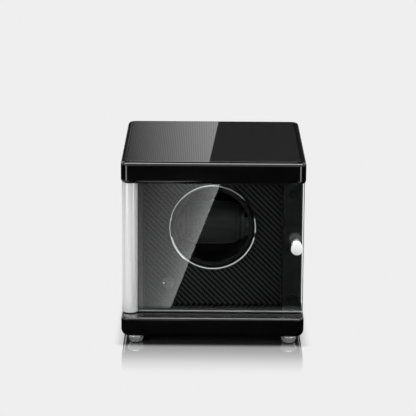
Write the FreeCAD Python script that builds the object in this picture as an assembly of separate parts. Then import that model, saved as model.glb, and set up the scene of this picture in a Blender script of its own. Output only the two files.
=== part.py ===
import FreeCAD
import Part
import math
import os

# Watch winder box for one watch: a cabinet between two lacquered slabs, closed by a glass door that
# swings on a round corner post. Behind the carbon panel a geared motor turns the cup with the cushion.
# Millimetres. +Z is up, the front faces -Y, and the origin is on the floor under the middle of the box.

# Slabs: the lid and the base have the same plan
WIDTH = 171.7
DEPTH = 200.0
BASE_THICK = 19.3
LID_THICK = 20.8
CABINET_HEIGHT = 128.2
SLAB_CORNER = 8.0
LID_TOP_ROUND = 3.2
LID_UNDER_ROUND = 3.5
BASE_TOP_ROUND = 2.5
BASE_UNDER_ROUND = 7.0
INLAY_RIM = 4.8
INLAY_CORNER = 4.0
INLAY_THICK = 2.0
INLAY_GAP = 0.15
INLAY_BEVEL = 0.4

# Fits that several pieces share
SEAT_GAP = 0.1
RUNNING_GAP = 0.05
END_PLAY = 0.2
HOLE_SPARE = 0.5
NEAR = 1e-6

# Small pan-head screw, used for the panel, the plate, the motor, the gear and the board
SCREW_SHANK = 1.5
SCREW_HEAD = 2.8
SCREW_HEAD_HEIGHT = 1.8
SCREW_CROWN = 0.5

# Feet
FOOT_HEIGHT = 7.9
FOOT_INSET = 13.8
FOOT_LOBES = 8
LOBE_DEPTH = 0.9
FOOT_TOP_RADIUS = 8.2
FOOT_TOE_RADIUS = 6.3
FOOT_TOE_ROUND = 1.2
FOOT_COLLAR_RADIUS = 6.6
FOOT_COLLAR = 1.6
PAD_RADIUS = 3.9
PAD_THICK = 2.0
PAD_PROUD = 0.8
PAD_BEVEL = 0.3
FOOT_SCREW_SHANK = 1.8
FOOT_SCREW_HEAD = 3.3
FOOT_SCREW_HEAD_HEIGHT = 2.2
FOOT_SCREW_BITE = 11.0

# Side walls and back panel
WALL_THICK = 18.0
WALL_INSET = 2.0
WALL_ROUND = 1.5
REAR_INSET = 2.0
DOWEL_RADIUS = 3.0
DOWEL_REACH = 11.5
DOWEL_INSET = 30.0
BACK_THICK = 8.0
BACK_LAP = 9.0
BACK_GAP = 0.3
BACK_ROUND = 1.0
BACK_SCREW_INSET = 12.0
BACK_SCREW_BITE = 12.0

# Door: post, glass, pins and bushes
POST_RADIUS = 7.5
POST_SETBACK = 20.0
POST_INSET = 0.5
POST_BEVEL = 0.6
POST_COVE_GAP = 1.0
GLASS_THICK = 5.0
GLASS_BEVEL = 0.6
GLASS_BITE = 6.0
GLASS_GAP = 0.3
GLASS_INSET = 0.6
DOOR_STANDOFF = 1.6
PIN_RADIUS = 2.5
PIN_SUNK = 10.0
PIN_REACH = 8.0
BUSH_WALL = 1.5
BUSH_FLANGE_RADIUS = 6.0
BUSH_FLANGE = 0.6
BUMPER_RADIUS = 4.0
BUMPER_THICK = 1.3
BUMPER_CROWN = 0.5
BUMPER_INSET = 14.0

# Door pull: a turned knob, its screw, washers and catch magnet
KNOB_ABOVE_BASE = 67.0
KNOB_FROM_EDGE = 7.0
KNOB_LENGTH = 17.0
KNOB_FACE_RADIUS = 5.7
KNOB_FACE_RIM = 1.6
KNOB_COLLAR_RADIUS = 5.3
KNOB_COLLAR_RIM = 1.4
KNOB_COLLAR_REACH = 7.5
KNOB_FOOT_RADIUS = 4.2
KNOB_FOOT_RIM = 1.4
KNOB_NECK_RADIUS = 2.9
KNOB_DOME = 0.5
KNOB_SCREW_BITE = 7.0
WASHER_RADIUS = 3.9
WASHER_THICK = 0.5
GLASS_HOLE_GAP = 0.6
MAGNET_RADIUS = 4.5
MAGNET_THICK = 4.0
MAGNET_CLEARANCE = 0.8

# Carbon panel and its battens
FASCIA_SETBACK = 51.0
FASCIA_THICK = 6.0
FASCIA_GAP = 0.2
BATTEN = 8.0

# Trim ring and winding cup
ROTOR_BELOW_LID = 52.7
RING_WIDTH = 2.2
RING_PROUD = 1.8
RING_SLEEVE = 1.0
RING_BEVEL = 0.6
CUP_GAP = 0.7
CUP_RECESS = 1.5
CUP_DEPTH = 57.5
CUP_WALL = 2.0
CUP_RIM = 4.6
CUP_RIM_DEPTH = 3.5
CUP_RIM_BEVEL = 0.8
CUP_BACK = 3.0
CUP_HUB_RADIUS = 7.0
CUP_HUB = 4.0

# Watch cushion and the rails that it slides in on
CUSHION_LENGTH = 54.0
CUSHION_HEIGHT = 42.0
CUSHION_DEPTH = 44.0
CUSHION_PROUD = 1.0
CUSHION_CORNER = 13.0
CUSHION_CROWN = 1.6
CUSHION_DRAW = 3.6
CUSHION_DRAW_POWER = 4
CUSHION_STATIONS = 13
CORE_HEIGHT = 14.0
CORE_DEPTH = 16.0
CORE_GAP = 0.3
CORE_TENON = 1.5
CORE_TENON_INSET = 2.0
END_THICK = 3.0
END_HEIGHT = 29.0
END_DEPTH = 35.0
END_CORNER = 8.0
END_EDGE = 0.8
TONGUE_REACH = 2.8
TONGUE_HEIGHT = 6.0
TONGUE_LENGTH = 30.0
SLIDE_GAP = 0.3
RAIL_DEPTH = 6.8
RAIL_HEIGHT = 18.0
RAIL_STOP = 2.0

# Gear pair: the wheel on the cup and the pinion on the motor
GEAR_MODULE = 0.8
WHEEL_TEETH = 64
PINION_TEETH = 16
PRESSURE_ANGLE = math.radians(20.0)
ROOT_SHARE = 1.25
BACKLASH = 0.16
GEAR_FACE = 6.0
GEAR_WEB = 3.5
GEAR_RIM = 4.5
WHEEL_HUB_RADIUS = 5.5
GEAR_SCREWS = 3
GEAR_SCREW_CIRCLE = 13.0
PINION_GAP = 0.6
MOTOR_ANGLE = math.radians(-45.0)

# Rotor shaft, its bearing block and bushes
SHAFT_RADIUS = 3.0
SHAFT_TAIL = 2.0
ROTOR_BUSH_WALL = 2.0
ROTOR_BUSH_LENGTH = 8.0
ROTOR_BUSH_FLANGE = 1.0
ROTOR_BUSH_FLANGE_RADIUS = 6.4
BLOCK_RADIUS = 16.0
BLOCK_FLANGE = 4.0
BLOCK_BOSS_RADIUS = 8.5
BLOCK_LENGTH = 20.0
BLOCK_SCREWS = 3
BLOCK_SCREW_CIRCLE = 12.2
CLIP_RADIUS = 5.4
CLIP_THICK = 0.9
CLIP_GROOVE = 0.5
CLIP_MOUTH = 3.0

# Drive plate and pillars
PLATE_GAP = 2.0
PLATE_THICK = 3.0
PLATE_MARGIN = 8.0
PLATE_CORNER = 6.0
PILLAR_RADIUS = 4.0
PILLAR_FOOT_RADIUS = 6.0
PILLAR_FOOT = 2.0
PILLAR_FROM_BATTEN = 8.0
PILLAR_BELOW_LID = 10.0
PILLAR_ABOVE_RING = 4.0
PILLAR_SCREW_BITE = 9.0

# Geared motor
GEARBOX_RADIUS = 15.0
GEARBOX_LENGTH = 16.0
GEARBOX_EDGE = 0.8
PILOT_RADIUS = 6.0
MOTOR_SHAFT_RADIUS = 2.0
MOTOR_SHAFT_SUNK = 9.0
MOTOR_RADIUS = 12.0
MOTOR_LENGTH = 22.0
MOTOR_EDGE = 1.5
MOTOR_FLAT = 1.5
MOTOR_CAP_RADIUS = 5.0
MOTOR_CAP = 2.0
TERMINAL_SIZE = 6.0
TERMINAL_DROP = 3.0
MOTOR_SCREW_SPREAD = 10.5
MOTOR_SCREW_BITE = 6.0

# Program selector on the panel
SELECTOR_FROM_WALL = 23.3
SELECTOR_BELOW_RING = 11.0
SELECTOR_RADIUS = 6.3
SELECTOR_HEIGHT = 8.0
SELECTOR_LIFT = 0.6
SELECTOR_ROUND = 1.2
SELECTOR_SKIRT = 0.8
SELECTOR_SKIRT_DEPTH = 3.0
SELECTOR_SHAFT_RADIUS = 3.0
SELECTOR_SHAFT_SUNK = 4.0
SELECTOR_ROOF = 2.0
DOT_RADIUS = 0.8
DOT_OFFSET = 4.2
DOT_SUNK = 0.5
DOT_PROUD = 0.05
SWITCH_SIZE = 12.0
SWITCH_DEPTH = 6.5
SWITCH_BUSH_RADIUS = 4.2
NUT_FLATS = 9.0
NUT_THICK = 1.6
NUT_THREAD_SPARE = 0.4

# Control board behind the panel
BOARD_THICK = 1.6
BOARD_ABOVE_BASE = 4.0
BOARD_ABOVE_SELECTOR = 7.0
BOARD_PAST_SELECTOR = 10.0
BOARD_LENGTH = 64.0
SPACER_RADIUS = 3.0
SPACER_INSET = 5.0
SPACER_PITCH = 9.0
CHIP_LENGTH = 10.0
CHIP_HEIGHT = 7.0
CHIP_THICK = 1.8
CHIP_OFFSET = 11.0
CAPACITOR_RADIUS = 4.0
CAPACITOR_LENGTH = 10.0
CAPACITOR_EDGE = 0.6
CAPACITOR_OFFSET = 0.0
PLUG_WIDTH = 8.0
PLUG_HEIGHT = 5.0
PLUG_DEPTH = 6.0
POWER_PLUG_OFFSET = 21.0
MOTOR_PLUG_OFFSET = 31.0

# Power jack in the back panel, and the leads inside
JACK_FROM_WALL = 19.0
JACK_ABOVE_BASE = 22.0
JACK_FLANGE_RADIUS = 6.5
JACK_FLANGE = 1.6
JACK_BARREL_RADIUS = 4.2
JACK_BARREL = 13.0
JACK_BORE_RADIUS = 2.9
JACK_BORE = 9.0
JACK_PIN_RADIUS = 1.0
JACK_PIN_SHORT = 1.0
JACK_NUT_FLATS = 11.0
JACK_NUT_THICK = 2.0
LEAD_RADIUS = 1.0
BEND_SHARE = 0.45

# Levels and planes worked out from the sizes above
FRONT = -DEPTH / 2
FLOOR = FOOT_HEIGHT + BASE_THICK
CEILING = FLOOR + CABINET_HEIGHT
TOP = CEILING + LID_THICK
WALL_OUT = WIDTH / 2 - WALL_INSET
WALL_IN = WALL_OUT - WALL_THICK
WALL_REAR = DEPTH / 2 - REAR_INSET
BACK_INNER = WALL_REAR - BACK_THICK
POST_X = -WIDTH / 2 + POST_INSET + POST_RADIUS
POST_Y = FRONT + POST_SETBACK
GLASS_FRONT = POST_Y - GLASS_THICK / 2
GLASS_REAR = POST_Y + GLASS_THICK / 2
GLASS_LEFT = POST_X + POST_RADIUS - GLASS_BITE
GLASS_RIGHT = WIDTH / 2 - GLASS_INSET
WALL_FRONT = GLASS_REAR + DOOR_STANDOFF
BUSH_BORE = PIN_RADIUS + RUNNING_GAP
BUSH_RADIUS = BUSH_BORE + BUSH_WALL
BUSH_LENGTH = PIN_REACH + HOLE_SPARE
POST_LOW = FLOOR + BUSH_FLANGE
POST_HIGH = CEILING - BUSH_FLANGE - END_PLAY
GLASS_LOW = POST_LOW + GLASS_GAP
GLASS_HIGH = POST_HIGH - GLASS_GAP
MAGNET_FRONT = GLASS_REAR + WASHER_THICK + SCREW_HEAD_HEIGHT + MAGNET_CLEARANCE
MAGNET_REAR = MAGNET_FRONT + MAGNET_THICK
KNOB_X = GLASS_RIGHT - KNOB_FROM_EDGE
KNOB_Z = FLOOR + KNOB_ABOVE_BASE
FASCIA_FRONT = FRONT + FASCIA_SETBACK
FASCIA_REAR = FASCIA_FRONT + FASCIA_THICK
ROTOR_Z = CEILING - ROTOR_BELOW_LID
END_OUT = CUSHION_LENGTH / 2 + END_THICK
CUP_INNER = END_OUT + SLIDE_GAP + RAIL_DEPTH
CUP_RADIUS = CUP_INNER + CUP_WALL
CUP_MOUTH = CUP_RADIUS - CUP_RIM
RING_INNER = CUP_RADIUS + CUP_GAP
RING_RADIUS = RING_INNER + RING_WIDTH
APERTURE = RING_INNER + RING_SLEEVE + SEAT_GAP
CUP_FRONT = FASCIA_FRONT + CUP_RECESS
CUP_REAR = CUP_FRONT + CUP_DEPTH
CUP_FLOOR = CUP_REAR - CUP_BACK
CUSHION_FRONT = FASCIA_FRONT - CUSHION_PROUD
CUSHION_Y = CUSHION_FRONT + CUSHION_DEPTH / 2
GEAR_REAR = CUP_REAR + GEAR_FACE
PLATE_FRONT = GEAR_REAR + PLATE_GAP
PLATE_REAR = PLATE_FRONT + PLATE_THICK
BLOCK_REAR = PLATE_REAR + BLOCK_LENGTH
ROTOR_BUSH_BORE = SHAFT_RADIUS + RUNNING_GAP
ROTOR_BUSH_RADIUS = ROTOR_BUSH_BORE + ROTOR_BUSH_WALL
CLIP_FRONT = BLOCK_REAR + ROTOR_BUSH_FLANGE + END_PLAY
SHAFT_END = CLIP_FRONT + CLIP_THICK + SHAFT_TAIL
GEAR_CENTRES = GEAR_MODULE * (WHEEL_TEETH + PINION_TEETH) / 2
MOTOR_X = GEAR_CENTRES * math.cos(MOTOR_ANGLE)
MOTOR_Z = ROTOR_Z + GEAR_CENTRES * math.sin(MOTOR_ANGLE)
GEARBOX_REAR = PLATE_REAR + GEARBOX_LENGTH
MOTOR_REAR = GEARBOX_REAR + MOTOR_LENGTH
TERMINAL_Y = MOTOR_REAR - MOTOR_EDGE - TERMINAL_SIZE
TERMINAL_LOW = MOTOR_Z - MOTOR_RADIUS - TERMINAL_DROP
PILLAR_X = WALL_IN - BATTEN - PILLAR_FROM_BATTEN
PILLAR_TOP = CEILING - PILLAR_BELOW_LID
PILLAR_LOW = ROTOR_Z - RING_RADIUS + PILLAR_ABOVE_RING
PILLARS = [(x, z) for x in (-PILLAR_X, PILLAR_X) for z in (PILLAR_LOW, PILLAR_TOP)]
SELECTOR_X = -WALL_IN + SELECTOR_FROM_WALL
SELECTOR_Z = ROTOR_Z - RING_RADIUS - SELECTOR_BELOW_RING
KNOB_SEAT = FASCIA_FRONT - SELECTOR_LIFT
BOARD_FRONT = FASCIA_REAR + SWITCH_DEPTH
BOARD_REAR = BOARD_FRONT + BOARD_THICK
BOARD_LEFT = SELECTOR_X - BOARD_PAST_SELECTOR
BOARD_RIGHT = BOARD_LEFT + BOARD_LENGTH
BOARD_LOW = FLOOR + BOARD_ABOVE_BASE
BOARD_TOP = SELECTOR_Z + BOARD_ABOVE_SELECTOR
BOARD_MID = (BOARD_LOW + BOARD_TOP) / 2
SPACERS = [(BOARD_RIGHT - SPACER_INSET - shift, BOARD_MID) for shift in (0.0, SPACER_PITCH)]
JACK_X = WALL_IN - JACK_FROM_WALL
JACK_Z = FLOOR + JACK_ABOVE_BASE
FOOT_SPOTS = [(x, y) for x in (FOOT_INSET - WIDTH / 2, WIDTH / 2 - FOOT_INSET)
              for y in (FRONT + FOOT_INSET, -FRONT - FOOT_INSET)]
DOWEL_X = (WALL_IN + WALL_OUT) / 2
DOWEL_YS = (WALL_FRONT + DOWEL_INSET, WALL_REAR - DOWEL_INSET)
DOWEL_SPOTS = [(x, y) for x in (-DOWEL_X, DOWEL_X) for y in DOWEL_YS]
BACK_SCREW_X = WALL_IN + BACK_LAP / 2
BACK_SCREW_SPOTS = [(x, z) for x in (-BACK_SCREW_X, BACK_SCREW_X)
                    for z in (FLOOR + BACK_SCREW_INSET, CEILING - BACK_SCREW_INSET)]
BUMPER_SPOTS = [(DOWEL_X, z) for z in (FLOOR + BUMPER_INSET, CEILING - BUMPER_INSET)]

Vector = FreeCAD.Vector
X_AXIS = Vector(1, 0, 0)
Y_AXIS = Vector(0, 1, 0)
Z_AXIS = Vector(0, 0, 1)


def block(x, y, z):
    """A box between the low and high values given for each axis."""
    corner = Vector(x[0], y[0], z[0])
    return Part.makeBox(x[1] - x[0], y[1] - y[0], z[1] - z[0], corner)


def rod_y(radius, x, z, low, high):
    """A round rod along Y."""
    return Part.makeCylinder(radius, high - low, Vector(x, low, z), Y_AXIS)


def rod_z(radius, x, y, low, high):
    """A round rod along Z."""
    return Part.makeCylinder(radius, high - low, Vector(x, y, low), Z_AXIS)


def parallel_edges(shape, axis):
    """The straight edges of a shape that run along an axis."""
    found = []
    for edge in shape.Edges:
        run = edge.Vertexes[-1].Point - edge.Vertexes[0].Point
        if run.Length > 0 and run.cross(axis).Length < NEAR * run.Length:
            found.append(edge)
    return found


def level_edges(shape, height):
    """The edges of a shape that lie in the plane at a height."""
    return [edge for edge in shape.Edges
            if abs(edge.BoundBox.ZMin - height) < NEAR and abs(edge.BoundBox.ZMax - height) < NEAR]


def rounded(shape, axis, radius):
    """A shape with all its edges along an axis rounded."""
    return shape.makeFillet(radius, parallel_edges(shape, axis))


def cut_all(shape, tools):
    """A shape with a list of tools cut away, cleaned of split faces."""
    return shape.cut(tools).removeSplitter()


def turned(start, steps, base, direction):
    """A solid turned about the line through base: corners are (radius, along), arcs ((via), (end))."""
    edges = []
    here = Vector(start[0], 0, start[1])
    for step in steps + [start]:
        curved = isinstance(step[0], tuple)
        there = Vector(step[1][0], 0, step[1][1]) if curved else Vector(step[0], 0, step[1])
        if curved:
            via = Vector(step[0][0], 0, step[0][1])
            edges.append(Part.Arc(here, via, there).toShape())
        else:
            edges.append(Part.LineSegment(here, there).toShape())
        here = there
    solid = Part.Face(Part.Wire(edges)).revolve(Vector(0, 0, 0), Z_AXIS, 360)
    solid.Placement = FreeCAD.Placement(Vector(*base), FreeCAD.Rotation(Z_AXIS, direction))
    return solid


def dome(radius, low, rise):
    """The step of a turned outline that closes it with a ball-shaped cap: from radius at low to the axis."""
    ball = (radius ** 2 + rise ** 2) / (2 * rise)
    half = math.asin(radius / ball) / 2
    return ((ball * math.sin(half), low + rise - ball * (1 - math.cos(half))), (0, low + rise))


def pan_screw(seat, direction, reach, shank=SCREW_SHANK, head=SCREW_HEAD, height=SCREW_HEAD_HEIGHT):
    """A pan-head screw: the head stands on seat and the shank runs along direction."""
    steps = [(head - SCREW_CROWN, -height), (head, SCREW_CROWN - height), (head, 0), (shank, 0),
             (shank, reach), (0, reach)]
    return turned((0, -height), steps, seat, direction)


def hexagon_nut(flats, thick, bore, x, z, y):
    """A hexagon nut on a thread along Y, from y towards the back."""
    radius = flats / 2 / math.cos(math.pi / 6)
    angles = [k * math.pi / 3 for k in range(7)]
    corners = [Vector(x + radius * math.cos(a), y, z + radius * math.sin(a)) for a in angles]
    prism = Part.Face(Part.makePolygon(corners)).extrude(Y_AXIS * thick)
    return prism.cut(rod_y(bore, x, z, y, y + thick))


def slab(low, high, under_round, top_round):
    """A lid or base board with rounded corners and edges."""
    board = block((-WIDTH / 2, WIDTH / 2), (FRONT, -FRONT), (low, high))
    board = rounded(board, Z_AXIS, SLAB_CORNER)
    board = board.makeFillet(under_round, level_edges(board, low))
    return board.makeFillet(top_round, level_edges(board, high))


def dowel_holes(level, reach):
    """The holes for the wall dowels on one side of a joint, up or down from its level."""
    low, high = sorted((level, level + reach))
    return [rod_z(DOWEL_RADIUS + SEAT_GAP, x, y, low, high) for x, y in DOWEL_SPOTS]


def make_base_slab():
    board = slab(FOOT_HEIGHT, FLOOR, BASE_UNDER_ROUND, BASE_TOP_ROUND)
    holes = dowel_holes(FLOOR, -DOWEL_REACH - HOLE_SPARE)
    screw_top = FOOT_HEIGHT + FOOT_SCREW_BITE + HOLE_SPARE
    holes += [rod_z(FOOT_SCREW_SHANK + SEAT_GAP, x, y, FOOT_HEIGHT, screw_top) for x, y in FOOT_SPOTS]
    holes.append(rod_z(BUSH_RADIUS + SEAT_GAP, POST_X, POST_Y, FLOOR - BUSH_LENGTH, FLOOR))
    return cut_all(board, holes)


def inlay_plate(gap, low, high):
    """The plan of the lid's inlay, with a gap all round."""
    edge = INLAY_RIM + gap
    plate = block((edge - WIDTH / 2, WIDTH / 2 - edge), (FRONT + edge, -FRONT - edge), (low, high))
    return rounded(plate, Z_AXIS, INLAY_CORNER)


def make_lid_slab():
    board = slab(CEILING, TOP, LID_UNDER_ROUND, LID_TOP_ROUND)
    holes = dowel_holes(CEILING, DOWEL_REACH + HOLE_SPARE)
    holes.append(rod_z(BUSH_RADIUS + SEAT_GAP, POST_X, POST_Y, CEILING, CEILING + BUSH_LENGTH))
    holes.append(inlay_plate(0.0, TOP - INLAY_THICK, TOP))
    return cut_all(board, holes)


def make_lid_inlay():
    plate = inlay_plate(INLAY_GAP, TOP - INLAY_THICK, TOP)
    return plate.makeChamfer(INLAY_BEVEL, level_edges(plate, TOP))


def lobed_wire(tip_radius, height):
    """The plan of a foot at a height: rounded lobes that meet in sharp valleys."""
    step = 2 * math.pi / FOOT_LOBES
    valley = tip_radius - LOBE_DEPTH

    def spot(radius, angle):
        return Vector(radius * math.cos(angle), radius * math.sin(angle), height)

    arcs = [Part.Arc(spot(valley, k * step), spot(tip_radius, (k + 0.5) * step), spot(valley, (k + 1) * step))
            for k in range(FOOT_LOBES)]
    return Part.Wire([arc.toShape() for arc in arcs])


def foot_body():
    """One lobed foot on the axis: it tapers to a rounded toe and has a plain collar under the base."""
    shoulder = FOOT_HEIGHT - FOOT_COLLAR
    toe_top = PAD_PROUD + FOOT_TOE_ROUND
    sections = [lobed_wire(FOOT_TOE_RADIUS - FOOT_TOE_ROUND / 2, PAD_PROUD),
                lobed_wire(FOOT_TOE_RADIUS, toe_top),
                lobed_wire(FOOT_TOP_RADIUS, shoulder)]
    body = Part.makeLoft(sections, True, True)
    body = body.fuse(rod_z(FOOT_COLLAR_RADIUS, 0, 0, shoulder, FOOT_HEIGHT))
    head_top = PAD_THICK + FOOT_SCREW_HEAD_HEIGHT
    return cut_all(body, [rod_z(PAD_RADIUS + SEAT_GAP, 0, 0, PAD_PROUD, PAD_THICK),
                          rod_z(FOOT_SCREW_HEAD + SEAT_GAP, 0, 0, PAD_THICK, head_top),
                          rod_z(FOOT_SCREW_SHANK + SEAT_GAP, 0, 0, head_top, FOOT_HEIGHT)])


def at_feet(shape):
    """Copies of a shape made on the axis, one at each foot."""
    copies = []
    for x, y in FOOT_SPOTS:
        copy = shape.copy()
        copy.translate(Vector(x, y, 0))
        copies.append(copy)
    return copies


def make_feet():
    return at_feet(foot_body())


def make_foot_pads():
    pad = turned((0, 0), [(PAD_RADIUS - PAD_BEVEL, 0), (PAD_RADIUS, PAD_BEVEL), (PAD_RADIUS, PAD_THICK),
                          (0, PAD_THICK)], (0, 0, 0), Z_AXIS)
    return at_feet(pad)


def make_foot_screws():
    seat = PAD_THICK + FOOT_SCREW_HEAD_HEIGHT
    reach = FOOT_HEIGHT - seat + FOOT_SCREW_BITE
    return at_feet(pan_screw((0, 0, seat), Z_AXIS, reach, FOOT_SCREW_SHANK, FOOT_SCREW_HEAD,
                             FOOT_SCREW_HEAD_HEIGHT))


def side_wall(side):
    """A side wall with its dowel holes and the rebate for the back panel; side is -1 or 1."""
    inner, outer = sorted((side * WALL_IN, side * WALL_OUT))
    wall = block((inner, outer), (WALL_FRONT, WALL_REAR), (FLOOR, CEILING))
    outer_edges = [edge for edge in parallel_edges(wall, Z_AXIS)
                   if abs(edge.Vertexes[0].X - side * WALL_OUT) < NEAR]
    wall = wall.makeFillet(WALL_ROUND, outer_edges)
    lap = sorted((side * WALL_IN, side * (WALL_IN + BACK_LAP)))
    cuts = [block(lap, (BACK_INNER, WALL_REAR), (FLOOR, CEILING))]
    cuts += dowel_holes(FLOOR, DOWEL_REACH + HOLE_SPARE) + dowel_holes(CEILING, -DOWEL_REACH - HOLE_SPARE)
    cuts += [rod_y(SCREW_SHANK + SEAT_GAP, x, z, BACK_INNER - BACK_SCREW_BITE - HOLE_SPARE, BACK_INNER)
             for x, z in BACK_SCREW_SPOTS]
    return wall, cuts


def make_left_wall():
    wall, cuts = side_wall(-1)
    cuts.append(rod_z(POST_RADIUS + POST_COVE_GAP, POST_X, POST_Y, FLOOR, CEILING))
    return cut_all(wall, cuts)


def make_right_wall():
    wall, cuts = side_wall(1)
    cuts.append(rod_y(MAGNET_RADIUS + SEAT_GAP, KNOB_X, KNOB_Z, WALL_FRONT, MAGNET_REAR))
    return cut_all(wall, cuts)


def make_wall_dowels():
    return [rod_z(DOWEL_RADIUS, x, y, level - DOWEL_REACH, level + DOWEL_REACH)
            for level in (FLOOR, CEILING) for x, y in DOWEL_SPOTS]


def make_back_panel():
    half = WALL_IN + BACK_LAP - BACK_GAP
    panel = block((-half, half), (BACK_INNER, WALL_REAR), (FLOOR + BACK_GAP, CEILING - BACK_GAP))
    panel = rounded(panel, Y_AXIS, BACK_ROUND)
    holes = [rod_y(SCREW_SHANK + SEAT_GAP, x, z, BACK_INNER, WALL_REAR) for x, z in BACK_SCREW_SPOTS]
    holes.append(rod_y(JACK_BARREL_RADIUS + SEAT_GAP, JACK_X, JACK_Z, BACK_INNER, WALL_REAR))
    return cut_all(panel, holes)


def make_back_screws():
    reach = BACK_THICK + BACK_SCREW_BITE
    return [pan_screw((x, WALL_REAR, z), -Y_AXIS, reach) for x, z in BACK_SCREW_SPOTS]


def make_hinge_post():
    """The corner post: bored at both ends for its pins and slotted along its length for the glass."""
    steps = [(POST_RADIUS - POST_BEVEL, POST_LOW), (POST_RADIUS, POST_LOW + POST_BEVEL),
             (POST_RADIUS, POST_HIGH - POST_BEVEL), (POST_RADIUS - POST_BEVEL, POST_HIGH), (0, POST_HIGH)]
    post = turned((0, POST_LOW), steps, (POST_X, POST_Y, 0), Z_AXIS)
    slot = block((GLASS_LEFT, POST_X + 2 * POST_RADIUS), (GLASS_FRONT - SEAT_GAP, GLASS_REAR + SEAT_GAP),
                 (POST_LOW, POST_HIGH))
    pins = [rod_z(PIN_RADIUS, POST_X, POST_Y, POST_LOW, POST_LOW + PIN_SUNK),
            rod_z(PIN_RADIUS, POST_X, POST_Y, POST_HIGH - PIN_SUNK, POST_HIGH)]
    return cut_all(post, [slot] + pins)


def make_post_pins():
    """Two pins pressed into the ends of the post, with the side that meets the glass planed off."""
    low = rod_z(PIN_RADIUS, POST_X, POST_Y, POST_LOW - PIN_REACH, POST_LOW + PIN_SUNK)
    high = rod_z(PIN_RADIUS, POST_X, POST_Y, POST_HIGH - PIN_SUNK, POST_HIGH + PIN_REACH)
    planed = block((GLASS_LEFT, POST_X + POST_RADIUS), (GLASS_FRONT, GLASS_REAR), (POST_LOW, POST_HIGH))
    return [low.cut(planed), high.cut(planed)]


def hinge_bush(level, direction):
    """A flanged bush, its flange on the slab and its body sunk in it."""
    steps = [(BUSH_BORE, BUSH_FLANGE), (BUSH_FLANGE_RADIUS, BUSH_FLANGE), (BUSH_FLANGE_RADIUS, 0),
             (BUSH_RADIUS, 0), (BUSH_RADIUS, -BUSH_LENGTH)]
    return turned((BUSH_BORE, -BUSH_LENGTH), steps, (POST_X, POST_Y, level), direction)


def make_lower_hinge_bush():
    return hinge_bush(FLOOR, Z_AXIS)


def make_upper_hinge_bush():
    return hinge_bush(CEILING, -Z_AXIS)


def make_door_glass():
    pane = block((GLASS_LEFT, GLASS_RIGHT), (GLASS_FRONT, GLASS_REAR), (GLASS_LOW, GLASS_HIGH))
    free = [edge for edge in pane.Edges
            if edge.BoundBox.XMax > GLASS_LEFT + NEAR and edge.BoundBox.YMax - edge.BoundBox.YMin < NEAR]
    pane = pane.makeChamfer(GLASS_BEVEL, free)
    return pane.cut(rod_y(SCREW_SHANK + GLASS_HOLE_GAP, KNOB_X, KNOB_Z, GLASS_FRONT, GLASS_REAR))


def make_door_knob():
    """A turned pull: a foot, a collar on a waisted neck, and a broad face."""
    neck = KNOB_NECK_RADIUS
    collar = KNOB_COLLAR_REACH
    collar_end = collar + KNOB_COLLAR_RIM
    collar_inner = KNOB_COLLAR_RADIUS - KNOB_COLLAR_RIM / 2
    face = KNOB_LENGTH - KNOB_FACE_RIM
    face_inner = KNOB_FACE_RADIUS - KNOB_FACE_RIM / 2
    bore = KNOB_SCREW_BITE + HOLE_SPARE
    steps = [(KNOB_FOOT_RADIUS, 0), (KNOB_FOOT_RADIUS, KNOB_FOOT_RIM),
             ((neck, (KNOB_FOOT_RIM + collar) / 2), (collar_inner, collar)),
             ((KNOB_COLLAR_RADIUS, collar + KNOB_COLLAR_RIM / 2), (collar_inner, collar_end)),
             ((neck, (collar_end + face) / 2), (face_inner, face)),
             ((KNOB_FACE_RADIUS, face + KNOB_FACE_RIM / 2), (face_inner, KNOB_LENGTH)),
             dome(face_inner, KNOB_LENGTH, KNOB_DOME), (0, bore), (SCREW_SHANK, bore)]
    return turned((SCREW_SHANK, 0), steps, (KNOB_X, GLASS_FRONT - WASHER_THICK, KNOB_Z), -Y_AXIS)


def make_knob_washers():
    washers = []
    for low in (GLASS_FRONT - WASHER_THICK, GLASS_REAR):
        disc = rod_y(WASHER_RADIUS, KNOB_X, KNOB_Z, low, low + WASHER_THICK)
        washers.append(disc.cut(rod_y(SCREW_SHANK + SEAT_GAP, KNOB_X, KNOB_Z, low, low + WASHER_THICK)))
    return washers


def make_knob_screw():
    reach = GLASS_THICK + 2 * WASHER_THICK + KNOB_SCREW_BITE
    return pan_screw((KNOB_X, GLASS_REAR + WASHER_THICK, KNOB_Z), -Y_AXIS, reach)


def make_catch_magnet():
    return rod_y(MAGNET_RADIUS, KNOB_X, KNOB_Z, MAGNET_FRONT, MAGNET_REAR)


def make_door_bumpers():
    rim = BUMPER_THICK - BUMPER_CROWN
    steps = [(BUMPER_RADIUS, 0), (BUMPER_RADIUS, rim), dome(BUMPER_RADIUS, rim, BUMPER_CROWN)]
    return [turned((0, 0), steps, (x, WALL_FRONT, z), -Y_AXIS) for x, z in BUMPER_SPOTS]


def make_fascia():
    half = WALL_IN - FASCIA_GAP
    panel = block((-half, half), (FASCIA_FRONT, FASCIA_REAR), (FLOOR, CEILING - FASCIA_GAP))
    holes = ((APERTURE, 0, ROTOR_Z), (SWITCH_BUSH_RADIUS + SEAT_GAP, SELECTOR_X, SELECTOR_Z))
    return cut_all(panel, [rod_y(radius, x, z, FASCIA_FRONT, FASCIA_REAR) for radius, x, z in holes])


def make_fascia_battens():
    strips = []
    for side in (-1, 1):
        x = sorted((side * (WALL_IN - BATTEN), side * WALL_IN))
        strips.append(block(x, (FASCIA_REAR, FASCIA_REAR + BATTEN), (FLOOR, CEILING - FASCIA_GAP)))
    return strips


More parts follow.
